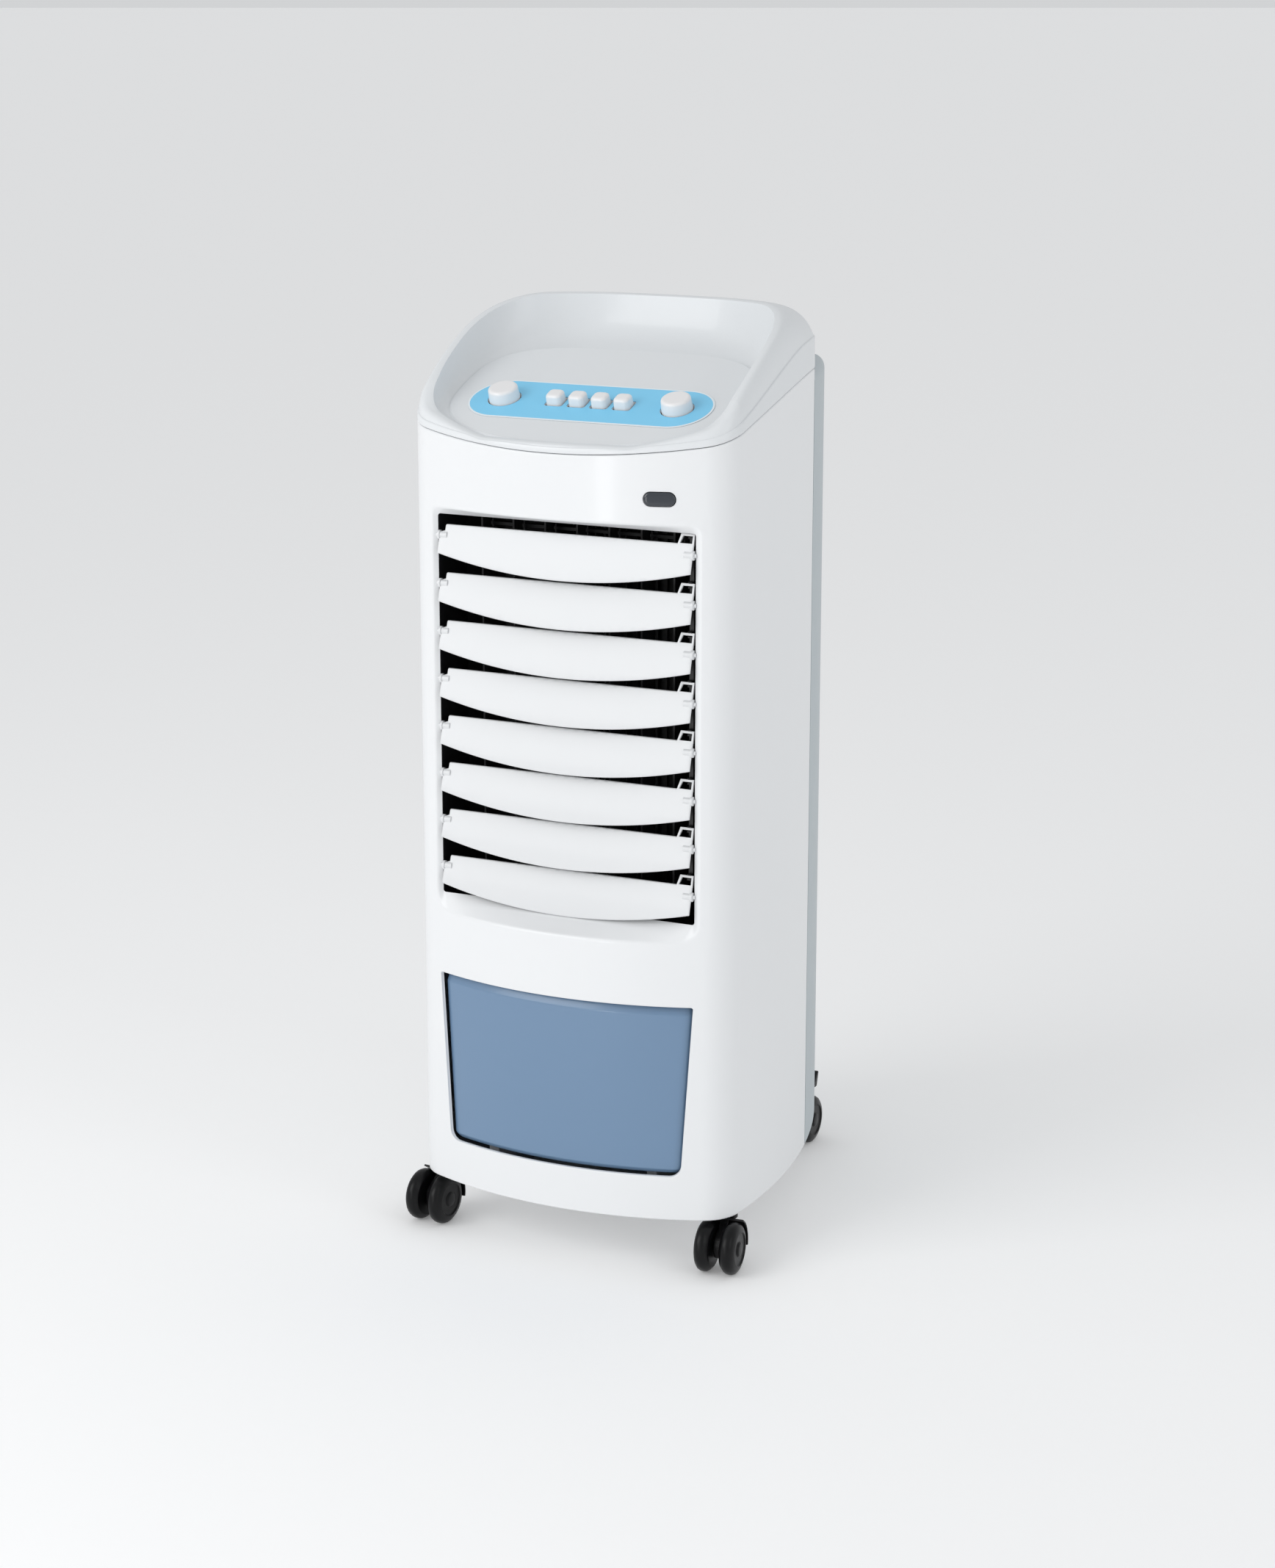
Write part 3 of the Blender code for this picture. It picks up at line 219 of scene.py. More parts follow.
def rear_centre(depth, radius):
    y = FRONT_Y + depth - radius
    reach = SIDE_RADIUS - radius
    return (SIDE_CENTRE[0] + math.sqrt(reach**2 - (y - SIDE_CENTRE[1]) ** 2), y)


class Plan:
    """Right half of the casing's outline as a chain of arcs, measured by its own length."""

    def __init__(self, depth=BODY_DEPTH, corner=REAR_CORNER):
        first = heading(FRONT_CENTRE, CORNER_CENTRE)
        second = heading(SIDE_CENTRE, CORNER_CENTRE)
        centre = rear_centre(depth, corner)
        third = heading(SIDE_CENTRE, centre)
        self.arcs = [
            (FRONT_CENTRE, FRONT_RADIUS, -math.pi / 2, first),
            (CORNER_CENTRE, FRONT_CORNER, first, second),
            (SIDE_CENTRE, SIDE_RADIUS, second, third),
            (centre, corner, third, math.pi / 2),
        ]
        self.lengths = [radius * (end - start) for _, radius, start, end in self.arcs]
        self.round_length = sum(self.lengths)
        self.half_length = self.round_length + centre[0]

    def point(self, s, inset=0.0):
        """(x, y) at a signed length from the middle of the front, moved inward by inset."""
        side, left = math.copysign(1.0, s), abs(s)
        for (centre, radius, start, end), length in zip(self.arcs, self.lengths):
            if left <= length:
                angle = start + left / radius
                reach = radius - inset
                return (side * (centre[0] + reach * math.cos(angle)), centre[1] + reach * math.sin(angle))
            left -= length
        centre, radius = self.arcs[-1][:2]
        return (side * (centre[0] - left), centre[1] + radius - inset)

    def length_at_x(self, x):
        """Signed length of the front's point at a place across it."""
        low, high = 0.0, self.lengths[0] + self.lengths[1]
        for _ in range(40):
            middle = (low + high) / 2
            low, high = (middle, high) if self.point(middle)[0] < abs(x) else (low, middle)
        return math.copysign(low, x)

    def length_at_y(self, y):
        """Length of the side's point at a depth."""
        return self.lengths[0] + self.lengths[1] + SIDE_RADIUS * (
            math.asin((y - SIDE_CENTRE[1]) / SIDE_RADIUS) - self.arcs[2][2]
        )

    def stations(self, end, coarse=1.0):
        """Lengths from the middle to an end, close together where the outline turns fast."""
        found, start = [0.0], 0.0
        for length, step in zip(self.lengths, (0.0050, 0.0016, 0.0080, 0.0020)):
            stop = min(start + length, end)
            count = max(1, round((stop - start) / (step * coarse)))
            if stop > start:
                found += [start + (stop - start) * i / count for i in range(1, count + 1)]
            start += length
        if end > self.round_length:
            rest = end - self.round_length
            found += [self.round_length + rest * i / 6 for i in range(1, 7)]
        return found


CASING = Plan()
COVER = Plan(COVER_DEPTH, COVER_CORNER)


def parting_z(y):
    """Edge between shell and cover, rising fast at first and level at the seam."""
    share = min(max((y - FRONT_Y) / SEAM_DEPTH, 0.0), 1.0)
    return PARTING_Z + PARTING_RISE * (1 - (1 - share) ** PARTING_POWER)


def rim_z(y):
    share = min(max((y - FRONT_Y - RIM_START_DEPTH) / RIM_RUN, 0.0), 1.0)
    return LIP_Z + RIM_RISE * (1 - (1 - share) ** RIM_POWER)


def floor_z(y):
    return FLOOR_Z + FLOOR_SLOPE * (y - FRONT_Y - FLOOR_DEPTH)


def bow_y(x, inset=0.0):
    return FRONT_CENTRE[1] - math.sqrt((FRONT_RADIUS - inset) ** 2 - x * x)


# ---- mesh tools -----------------------------------------------------------------------


class Skin:
    """Vertices and faces of one piece, gathered loop by loop."""

    def __init__(self):
        self.points = []
        self.faces = []

    def loop(self, points):
        first = len(self.points)
        self.points += [tuple(p) for p in points]
        return list(range(first, len(self.points)))

    def strip(self, a, b, closed=True):
        count = len(a) if closed else len(a) - 1
        for i in range(count):
            j = (i + 1) % len(a)
            self.faces.append((a[i], a[j], b[j], b[i]))

    def strips(self, loops, closed=True):
        made = [self.loop(points) for points in loops]
        for a, b in zip(made, made[1:]):
            self.strip(a, b, closed)
        return made

    def cap(self, loop):
        self.faces.append(tuple(loop))

    def lofted(self, loops):
        """A closed skin over loops of equal length, capped at both ends."""
        made = self.strips(loops)
        self.cap(made[0])
        self.cap(made[-1])
        return self

    def bar(self, outline, ends, place):
        """A straight bar with flat ends; place maps (u, v, w), w along the bar."""
        return self.lofted([[place(u, v, w) for u, v in outline] for w in ends])

    def ring(self, loops):
        """A skin over loops that closes on the first one again."""
        made = self.strips(loops)
        self.strip(made[-1], made[0])

    def sheet(self, top, under, triangles):
        """Both faces of a sheet, from matching points above and below."""
        for a, b, c in triangles:
            self.faces.append((top[a], top[b], top[c]))
            self.faces.append((under[a], under[c], under[b]))

    def walls(self, top, under, outlines, first=0):
        """Joins both faces of a sheet along outlines whose points follow each other."""
        for outline in outlines:
            last = first + len(outline)
            self.strip(top[first:last], under[first:last])
            first = last


def along_x(u, v, w):
    return (w, u, v)


def along_y(u, v, w):
    return (u, w, v)


def along_z(u, v, w):
    return (u, v, w)


def mesh_of(name, skin):
    """The skin as a mesh, its doubled points merged and its faces turned outward."""
    bm = bmesh.new()
    vertices = [bm.verts.new(p) for p in skin.points]
    for face in skin.faces:
        try:
            bm.faces.new([vertices[i] for i in face])
        except ValueError:
            continue
    bmesh.ops.remove_doubles(bm, verts=bm.verts, dist=1e-6)
    bmesh.ops.recalc_face_normals(bm, faces=bm.faces)
    mesh = bpy.data.meshes.new(name)
    bm.to_mesh(mesh)
    bm.free()
    return mesh


def linked(name, data):
    """A new object in the scene."""
    obj = bpy.data.objects.new(name, data)
    bpy.context.scene.collection.objects.link(obj)
    return obj


def piece(name, skin, material, body, nodes, sharp, weighted=True):
    """Turns a skin into a smooth-shaded object that rides on a body."""
    obj = linked(name, mesh_of(name, skin))
    obj.data.materials.append(material)
    obj.data.shade_smooth()
    obj.data.set_sharp_from_angle(angle=math.radians(sharp))
    if weighted:
        modifier = obj.modifiers.new("normals", "WEIGHTED_NORMAL")
        modifier.keep_sharp = True
    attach(obj, body)
    if nodes:
        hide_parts(*nodes)
    return obj


def fine(node, skin, look, sharp, body=None):
    """The piece that stands in for one CAD node, on the body of that name if none is given."""
    return piece(f"{node}_fine", skin, M[look], body or node, [node], sharp)


def outward(points):
    """Outward unit normals of a closed outline that runs counter-clockwise."""
    normals = []
    for i, here in enumerate(points):
        before, after = points[i - 1], points[(i + 1) % len(points)]
        a = Vector((here[0] - before[0], here[1] - before[1]))
        b = Vector((after[0] - here[0], after[1] - here[1]))
        a = Vector((a.y, -a.x)).normalized() if a.length > 1e-9 else Vector((0, 0))
        b = Vector((b.y, -b.x)).normalized() if b.length > 1e-9 else Vector((0, 0))
        both = a + b
        scale = 2 / max(both.length_squared, 0.5)
        normals.append(both * scale)
    return normals


def grown(points, by):
    """The outline moved outward, or inward where by is below zero."""
    return [(x + n.x * by, y + n.y * by) for (x, y), n in zip(points, outward(points))]


def rounded(x0, x1, y0, y1, low, high, steps=6, across=1, up=1):
    """Counter-clockwise rectangle with its own radii below and above and points on its sides."""
    corners = [
        (x1 - low, y0 + low, low, -math.pi / 2, up),
        (x1 - high, y1 - high, high, 0.0, across),
        (x0 + high, y1 - high, high, math.pi / 2, up),
        (x0 + low, y0 + low, low, math.pi, across),
    ]
    points = []
    for i, (x, y, radius, start, count) in enumerate(corners):
        points += arc((x, y), radius, start, start + math.pi / 2, steps)
        nx, ny, nr, ns, _ = corners[(i + 1) % 4]
        a = points[-1]
        b = (nx + nr * math.cos(ns), ny + nr * math.sin(ns))
        dx, dy = b[0] - a[0], b[1] - a[1]
        points += [(a[0] + dx * k / count, a[1] + dy * k / count) for k in range(1, count)]
    return points


def stadium(half, radius, steps=16):
    centre = half - radius
    right = arc((centre, 0), radius, -math.pi / 2, math.pi / 2, steps)
    return right + [(-x, -y) for x, y in right]


def circle(radius, sides, centre=(0.0, 0.0)):
    return arc(centre, radius, 0.0, 2 * math.pi, sides)[:-1]


def quarter(radius, steps=4):
    """(inset, height) pairs of a rounded edge, from its side to its top."""
    turn = [math.pi / 2 * i / steps for i in range(steps + 1)]
    return [(radius * (1 - math.cos(a)), radius * math.sin(a) - radius) for a in turn]


def soft_prism(skin, outline, low, high, radius, place, steps=3):
    """An outline raised from low to high with both rims rounded; place maps (u, v, w)."""
    stations = [(inset, high + drop) for inset, drop in quarter(radius, steps)]
    bottom = [(inset, low - drop) for inset, drop in quarter(radius, steps)]
    loops = []
    for inset, w in list(reversed(bottom)) + stations:
        loops.append([place(u, v, w) for u, v in grown(outline, -inset)])
    skin.lofted(loops)


def turned(skin, profile, sides, place):
    """A solid of revolution from (along, radius) pairs whose ends are on the axis."""
    loops = []
    for along, radius in profile[1:-1]:
        loops.append([place(u, v, along) for u, v in circle(radius, sides)])
    made = skin.strips(loops)
    for ring, (along, _) in ((made[0], profile[0]), (made[-1], profile[-1])):
        centre = skin.loop([place(0.0, 0.0, along)])[0]
        for i in range(sides):
            skin.faces.append((ring[i], ring[(i + 1) % sides], centre))
    return skin


def curve_through(points, steps=4):
    """A smooth line through points, by Catmull-Rom spans."""
    padded = [points[0]] + list(points) + [points[-1]]
    line = []
    for p0, p1, p2, p3 in zip(padded, padded[1:], padded[2:], padded[3:]):
        for i in range(steps):
            t = i / steps
            line.append(tuple(
                0.5 * (2 * b + (c - a) * t + (2 * a - 5 * b + 4 * c - d) * t**2
                       + (3 * b - a - 3 * c + d) * t**3)
                for a, b, c, d in zip(p0, p1, p2, p3)
            ))
    return line + [tuple(points[-1])]


def inside(point, outline):
    x, y = point
    odd = False
    for (x0, y0), (x1, y1) in zip(outline, outline[1:] + outline[:1]):
        if (y0 > y) != (y1 > y) and x < x0 + (x1 - x0) * (y - y0) / (y1 - y0):
            odd = not odd
    return odd


def triangulated(outer, holes, extra=()):
    """Points and triangles that fill an outline apart from its holes.

    The first points are the outline's and the holes', in order.
    """
    points = list(outer)
    edges = [(i, (i + 1) % len(outer)) for i in range(len(outer))]
    for hole in holes:
        first = len(points)
        points += hole
        edges += [(first + i, first + (i + 1) % len(hole)) for i in range(len(hole))]
    points += extra
    found, _, faces, origins, _, _ = delaunay_2d_cdt([Vector(p) for p in points], edges, [], 0, 1e-7)
    home = [o[0] if o else None for o in origins]
    kept = []
    for face in faces:
        centre = [sum(found[i][k] for i in face) / 3 for k in (0, 1)]
        if inside(centre, outer) and not any(inside(centre, hole) for hole in holes):
            kept.append(tuple(home[i] for i in face))
    return points, kept


# ---- materials ------------------------------------------------------------------------


def moulded(name, colour, roughness, grain=0.0, grain_size=0.0009, tint=0.02, wave=0.0, **sockets):
    """Moulded plastic: faint colour clouds, uneven gloss, a fine skin grain and slow waviness."""
    made = bpy.data.materials.new(name)
    made.use_nodes = True
    nodes, links = made.node_tree.nodes, made.node_tree.links
    shader = nodes["Principled BSDF"]
    for socket, value in sockets.items():
        shader.inputs[socket].default_value = value
    where = nodes.new("ShaderNodeTexCoord")

    def noise(scale, detail=2.0):
        node = nodes.new("ShaderNodeTexNoise")
        node.inputs["Scale"].default_value = scale
        node.inputs["Detail"].default_value = detail
        links.new(where.outputs["Object"], node.inputs["Vector"])
        return node

    clouds = noise(9.0, 3.0)
    mix = nodes.new("ShaderNodeMix")
    mix.data_type = "RGBA"
    mix.inputs["A"].default_value = (*[c * (1 - tint) for c in colour], 1.0)
    mix.inputs["B"].default_value = (*[min(1.0, c * (1 + tint)) for c in colour], 1.0)
    links.new(clouds.outputs["Fac"], mix.inputs["Factor"])
    links.new(mix.outputs["Result"], shader.inputs["Base Color"])
    gloss = noise(60.0, 4.0)
    spread = nodes.new("ShaderNodeMapRange")
    spread.inputs["To Min"].default_value = roughness * 0.88
    spread.inputs["To Max"].default_value = roughness * 1.12
    links.new(gloss.outputs["Fac"], spread.inputs["Value"])
    links.new(spread.outputs["Result"], shader.inputs["Roughness"])
    normal = None
    for size, depth in ((0.03, wave), (grain_size, grain)):
        if depth:
            bump = nodes.new("ShaderNodeBump")
            bump.inputs["Strength"].default_value = 0.35
            bump.inputs["Distance"].default_value = depth
            links.new(noise(1 / size, 2.0).outputs["Fac"], bump.inputs["Height"])
            if normal:
                links.new(normal.outputs["Normal"], bump.inputs["Normal"])
            normal = bump
    if normal:
        links.new(normal.outputs["Normal"], shader.inputs["Normal"])
    return made


GLOSSY = {"Coat Weight": 0.25, "Coat Roughness": 0.12, "IOR": 1.5}
DULL = {"Specular IOR Level": 0.22}
METAL = {"Metallic": 1.0}
M = {
    "white": moulded("casing_white", WHITE, 0.34, 0.00004, 0.0011, 0.008, 0.00006, **GLOSSY),
    "cover": moulded("cover_grey_white", (0.765, 0.785, 0.80), 0.38, 0.00004, 0.0010, 0.012, **GLOSSY),
    "louvre": moulded("louvre_white", (0.74, 0.75, 0.76), 0.36, 0.00003, 0.0011, 0.008, 0.00005, **GLOSSY),
    "knob": moulded("knob_white", (0.86, 0.85, 0.85), 0.32, 0.00002, 0.0008, 0.008, **GLOSSY),
    "rear": moulded("rear_blue_grey", (0.46, 0.515, 0.54), 0.42, 0.00010, 0.0009, 0.03),
    "inner": moulded("inner_white", (0.72, 0.73, 0.74), 0.46, 0.00006, 0.0012, 0.02),
    "duct": moulded("duct_black", (0.007, 0.007, 0.008), 0.50, 0.00008, 0.0010, 0.05),
    "vane": moulded("vane_black", (0.014, 0.014, 0.015), 0.42, 0.00004, 0.0010, 0.05),
    "caster": moulded("caster_nylon", (0.004, 0.004, 0.0045), 0.34, 0.00008, 0.0008, 0.05, **DULL),
    "wheel": moulded("wheel_nylon", (0.004, 0.004, 0.0045), 0.32, 0.00010, 0.0012, 0.06, **DULL),
    "label": moulded("label_blue", (0.22, 0.64, 0.92), 0.42, 0.00003, 0.0006, 0.02),
    "border": moulded("label_white", (0.82, 0.87, 0.90), 0.42, 0.00003, 0.0006, 0.01),
    "lens": moulded("lens_smoke", (0.030, 0.036, 0.045), 0.10, 0.0, 0.001, 0.05, **GLOSSY),
    "tank": moulded("tank_blue", (0.155, 0.255, 0.395), 0.30, 0.00003, 0.0012, 0.02, 0.0001, **GLOSSY),
    "steel": moulded("zinc_plate", (0.56, 0.57, 0.59), 0.36, 0.00003, 0.0006, 0.04, **METAL),
    "pad": moulded("pad_paper", (0.36, 0.25, 0.11), 0.85, 0.0003, 0.0020, 0.15),
    "hose": moulded("hose_clear", (0.66, 0.71, 0.72), 0.25, 0.0, 0.001, 0.02),
    "net": moulded("net_nylon", (0.02, 0.021, 0.023), 0.5, 0.00004, 0.0005, 0.05),
}


# ---- camera, light and floor ----------------------------------------------------------


def camera():
    data = bpy.data.cameras.new("camera")
    data.sensor_fit = "VERTICAL"
    data.sensor_height = 36.0
    data.lens = CAMERA_LENS
    data.clip_start = 0.05
    data.clip_end = 50.0
    obj = linked("camera", data)
    obj.location = CAMERA_PLACE
    obj.rotation_euler = (math.pi / 2 - CAMERA_DOWN, 0.0, CAMERA_ROUND)
    bpy.context.scene.camera = obj


def softbox(name, location, target, size, power, colour=(1.0, 1.0, 1.0)):
    data = bpy.data.lights.new(name, "AREA")
    data.shape = "RECTANGLE"
    data.size, data.size_y = size
    data.energy = power
    data.color = colour
    obj = linked(name, data)
    obj.location = location
    obj.rotation_euler = (Vector(target) - Vector(location)).to_track_quat("-Z", "Y").to_euler()


def studio():
    softbox("key", (-1.0, -1.75, 1.35), (0, 0, 0.50), (1.3, 1.3), 15)
    softbox("strip", (-0.22, -1.75, 0.30), (0.04, -0.16, 0.14), (0.16, 0.55), 1.6)
    softbox("right_fill", (2.3, -0.7, 1.2), (0.1, 0, 0.45), (0.8, 1.6), 5, (0.96, 0.98, 1.0))
    world = bpy.data.worlds.new("studio")
    bpy.context.scene.world = world
    world.use_nodes = True
    sky = world.node_tree.nodes["Background"].inputs
    sky["Color"].default_value = (0.97, 0.985, 1.0, 1.0)
    sky["Strength"].default_value = 0.66
    bpy.context.scene.view_settings.view_transform = "Standard"
    floor = Skin()
    floor.cap(floor.loop([(-90, -90, 0), (90, -90, 0), (90, 90, 0), (-90, 90, 0)]))
    mesh = bpy.data.meshes.new("floor")
    mesh.from_pydata(floor.points, [], floor.faces)
    obj = linked("floor", mesh)
    paint = moulded("floor_white", (0.88, 0.88, 0.88), 0.8, tint=0.003, **{"Emission Strength": 0.15})
    paint.node_tree.nodes["Principled BSDF"].inputs["Emission Color"].default_value = (1.0, 1.0, 1.0, 1.0)
    obj.data.materials.append(paint)


# ---- front shell ----------------------------------------------------------------------


def on_casing(s, z, inset=0.0):
    x, y = CASING.point(s, inset)
    return (x, y, z)


SEAM_LENGTH = CASING.length_at_y(at(SEAM_DEPTH))


def shell_border(shrink):
    """Edge of the front shell as (s, z): bottom, right seam, parting line, left seam."""
    half = SEAM_LENGTH - shrink
    scale = half / SEAM_LENGTH
    right = [s * scale for s in CASING.stations(SEAM_LENGTH, 0.8)]
    across = [-s for s in reversed(right[1:])] + right
    low = BASE_Z + shrink
    top = [(s, parting_z(CASING.point(s)[1]) - shrink) for s in reversed(across)]
    rows = 44
    up = [(half, low + (top[0][1] - low) * i / rows) for i in range(1, rows)]
    down = [(-half, top[-1][1] + (low - top[-1][1]) * i / rows) for i in range(1, rows)]
    return [(s, low) for s in across] + up + top + down


def funnel_mouth():
    """Mouth of the louvre recess on the bowed face as (s, z), and the point behind each."""
    steps = {"steps": 10, "across": 44, "up": 30}
    back = rounded(-RECESS_HALF, RECESS_HALF, RECESS_LOW, RECESS_HIGH, 0.002, 0.002, **steps)
    half = RECESS_HALF + RECESS_FLARE
    low, high = RECESS_LOW - SILL_DROP, RECESS_HIGH + HEAD_RISE
    front = rounded(-half, half, low, high, MOUTH_FOOT_RADIUS, MOUTH_HEAD_RADIUS, **steps)
    mouth = [(CASING.length_at_x(x), z) for x, z in front]
    return mouth, [(x, at(RECESS_BACK), z) for x, z in back]


def window_outline():
    """Tank window, wider above, with round lower corners and nearly sharp upper ones."""
    lower, upper = WINDOW_HALF_LOW - WINDOW_FOOT_RADIUS, WINDOW_HALF_HIGH - WINDOW_HEAD_RADIUS
    foot, head = WINDOW_LOW + WINDOW_FOOT_RADIUS, WINDOW_HIGH - WINDOW_HEAD_RADIUS
    corners = [((lower, foot), WINDOW_FOOT_RADIUS), ((upper, head), WINDOW_HEAD_RADIUS)]
    corners += [((-upper, head), WINDOW_HEAD_RADIUS), ((-lower, foot), WINDOW_FOOT_RADIUS)]
    points = []
    for i, (centre, radius) in enumerate(corners):
        points += arc(centre, radius, math.radians(90 * i - 90), math.radians(90 * i), 8)
    return resampled(points, 0.004)


def resampled(points, step):
    """The outline with points added on its long runs."""
    dense = []
    for a, b in zip(points, points[1:] + points[:1]):
        length = math.dist(a, b)
        if length < 1e-7:
            continue
        count = max(1, round(length / step))
        dx, dy = b[0] - a[0], b[1] - a[1]
        dense += [(a[0] + dx * i / count, a[1] + dy * i / count) for i in range(count)]
    return dense


def lens_outline(grow):
    points = resampled(stadium(LENS_HALF + grow, LENS_RADIUS + grow), 0.002)
    return [(CASING.length_at_x(LENS_X) + u, LENS_Z + v) for u, v in points]


def shell_grid(holes):
    """Points spread over the shell's face, clear of its edges and its holes."""
    grid, rows = [], 46
    for s in CASING.stations(SEAM_LENGTH - 0.004):
        for side in ((-1, 1) if s else (1,)):
            top = parting_z(CASING.point(s)[1])
            for row in range(1, rows):
                spot = (side * s, BASE_Z + (top - BASE_Z) * row / rows)
                clear = all(min(math.dist(spot, p) for p in hole[::2]) > 0.0035 for hole in holes)
                if clear and spot[1] < top - 0.004:
                    grid.append(spot)
    return grid


def lip_loops(outline, start_loop, radius, behind):
    """Loops of a rolled lip, then back to the recess's flange or straight through the wall."""
    columns = []
    for i, (s, z) in enumerate(outline):
        crossing = Vector(on_casing(s, z))
        away = (Vector(behind[i]) - crossing).normalized() if behind else Vector((0, 1, 0))
        start, end = Vector(on_casing(*start_loop[i])), crossing + away * radius
        columns.append([bezier(start, crossing, end, k / 5) for k in range(1, 6)])
    loops = [list(loop) for loop in zip(*columns)]
    if not behind:
        return loops + [[on_casing(s, z, WALL) for s, z in outline]]
    wider = 1 + RECESS_FLANGE / RECESS_HALF
    flange = [(x * wider, y, z + math.copysign(RECESS_FLANGE, z - RECESS_MIDDLE)) for x, y, z in behind]
    return loops + [[lerp(a, b, 0.5) for a, b in zip(loops[-1], behind)], behind, flange]


def front_shell():
    skin = Skin()
    mouth, recess_back = funnel_mouth()
    window = [(CASING.length_at_x(x), z) for x, z in window_outline()]
    lips = [(mouth, MOUTH_LIP, recess_back), (window, WINDOW_LIP, None), (lens_outline(GAP), LENS_LIP, None)]
    border = shell_border(SHELL_EDGE)
    wide = [grown(outline, radius) for outline, radius, _ in lips]
    points, triangles = triangulated(border, wide, shell_grid(wide))
    outer = skin.loop([on_casing(s, z) for s, z in points])
    inner = skin.loop([on_casing(s, z, WALL) for s, z in points])
    skin.sheet(outer, inner, triangles)
    rounds = []
    for a in quarter_turn(4):
        rounds.append(shell_edge(SHELL_EDGE * (1 - math.sin(a)), SHELL_EDGE * (1 - math.cos(a))))
    made = skin.strips(rounds + [shell_edge(0.0, WALL)])
    first = len(border)
    skin.strip(outer[:first], made[0])
    skin.strip(made[-1], inner[:first])
    for (outline, radius, behind), loop in zip(lips, wide):
        last = first + len(loop)
        made = skin.strips(lip_loops(outline, loop, radius, behind))
        skin.strip(outer[first:last], made[0])
        skin.strip(made[-1], inner[first:last])
        first = last
    fine("front_shell", skin, "white", 32, "cabinet")


def shell_edge(shrink, inset):
    return [on_casing(s, z, inset) for s, z in shell_border(shrink)]


def quarter_turn(steps):
    return [math.pi / 2 * i / steps for i in range(1, steps + 1)]


def bezier(a, b, c, t):
    return a * (1 - t) ** 2 + b * 2 * t * (1 - t) + c * t**2


def lerp(a, b, t):
    return tuple(p + (q - p) * t for p, q in zip(a, b))


def indicator_lens():
    """Smoked lens with a domed face, set in its hole."""
    skin = Skin()
    turn = Matrix.Rotation(math.asin(LENS_X / FRONT_RADIUS), 4, "Z")
    home = Matrix.Translation((LENS_X, bow_y(LENS_X), LENS_Z)) @ turn
    outline = resampled(stadium(LENS_HALF, LENS_RADIUS), 0.0012)
    dome = [(0.0, -0.0030), (0.0, 0.0), (0.0003, 0.0005)]
    dome += [(0.0010, 0.0009), (0.0024, 0.0011), (0.0045, 0.0012)]
    loops = []
    for inset, out in dome:
        rim = grown(outline, -min(inset, LENS_RADIUS - 0.0003))
        loops.append([home @ Vector((u, -out, v)) for u, v in rim])
    skin.lofted(loops)
    fine("indicator_lens", skin, "lens", 40, "cabinet")


# ---- rear housing ---------------------------------------------------------------------


def rear_loop(inset, z, seam):
    """Closed loop of the rear housing at one height, straight along the seam."""
    angle = math.asin((seam - SIDE_CENTRE[1]) / (SIDE_RADIUS - inset))
    start = CASING.lengths[0] + CASING.lengths[1] + SIDE_RADIUS * (angle - CASING.arcs[2][2])
    stations = [start] + [s for s in CASING.stations(CASING.half_length) if s > start + 0.002]
    right = [CASING.point(s, inset) for s in stations]
    right[0] = (right[0][0], seam)
    return [(x, y, z) for x, y in right + [(-x, y) for x, y in reversed(right[:-1])]]


def rear_housing():
    skin = Skin()
    seam = at(SEAM_DEPTH) + GAP
    top_round = []
    for a in quarter_turn(7):
        top_round.append((0.009 * (1 - math.cos(a)), HOUSING_TOP - 0.010 * (1 - math.sin(a))))
    stations = [(0.0010, BASE_Z), (0.0002, BASE_Z + 0.0006), (0.0, BASE_Z + 0.0012), (0.0, 0.2), (0.0, 0.4)]
    stations += [(0.0, HOUSING_TOP - 0.010)] + top_round
    inner = [(WALL, BASE_Z), (WALL, HOUSING_TOP - 0.011), (0.009, HOUSING_TOP - WALL)]
    outer_loops = [rear_loop(inset, z, seam) for inset, z in stations]
    inner_loops = [rear_loop(inset, z, seam) for inset, z in inner]
    made = skin.strips(list(reversed(outer_loops)) + inner_loops, closed=False)
    skin.cap(made[0])
    skin.cap(made[-1])
    for k in (0, -1):
        skin.cap([loop[k] for loop in made])
    obj = fine("rear_housing", skin, "rear", 32, "cabinet")
    low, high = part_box("filter_panel")
    clear = 0.0006
    ends = (at(BODY_DEPTH) - 0.02, at(BODY_DEPTH) + 0.02)
    outline = rounded(low.x - clear, high.x + clear, low.z - clear, high.z + clear, 0.003, 0.003, 5)
    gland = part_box("cable_gland")
    x, z = (gland[0].x + gland[1].x) / 2, (gland[0].z + gland[1].z) / 2
    carve(obj, Skin().bar(outline, ends, along_y), Skin().bar(circle(0.0055, 24, (x, z)), ends, along_y))


def carve(obj, *skins):
    """Cuts skins out of an object, ahead of its shading modifier."""
    shading = list(obj.modifiers)
    for skin in skins:
        cutter = linked("cutter", mesh_of("cutter", skin))
        modifier = obj.modifiers.new("cut", "BOOLEAN")
        modifier.operation = "DIFFERENCE"
        modifier.object = cutter
        obj.modifiers.move(obj.modifiers.find("cut"), 0)
        for other in shading:
            other.show_viewport = False
        bpy.context.view_layer.update()
        graph = bpy.context.evaluated_depsgraph_get()
        made = bpy.data.meshes.new_from_object(obj.evaluated_get(graph))
        for other in shading:
            other.show_viewport = True
        obj.modifiers.remove(modifier)
        obj.data = made
        bpy.data.objects.remove(cutter, do_unlink=True)
    obj.data.shade_smooth()
    obj.data.set_sharp_from_angle(angle=math.radians(32))


# ---- top cover ------------------------------------------------------------------------


def eased(value, low, high):
    t = min(max((value - low) / (high - low), 0.0), 1.0)
    return t * t * (3 - 2 * t)


def rearward(y):
    """From 0 along the sides to 1 at the middle of the back."""
    return eased(y - FRONT_Y, 0.120, COVER_DEPTH)


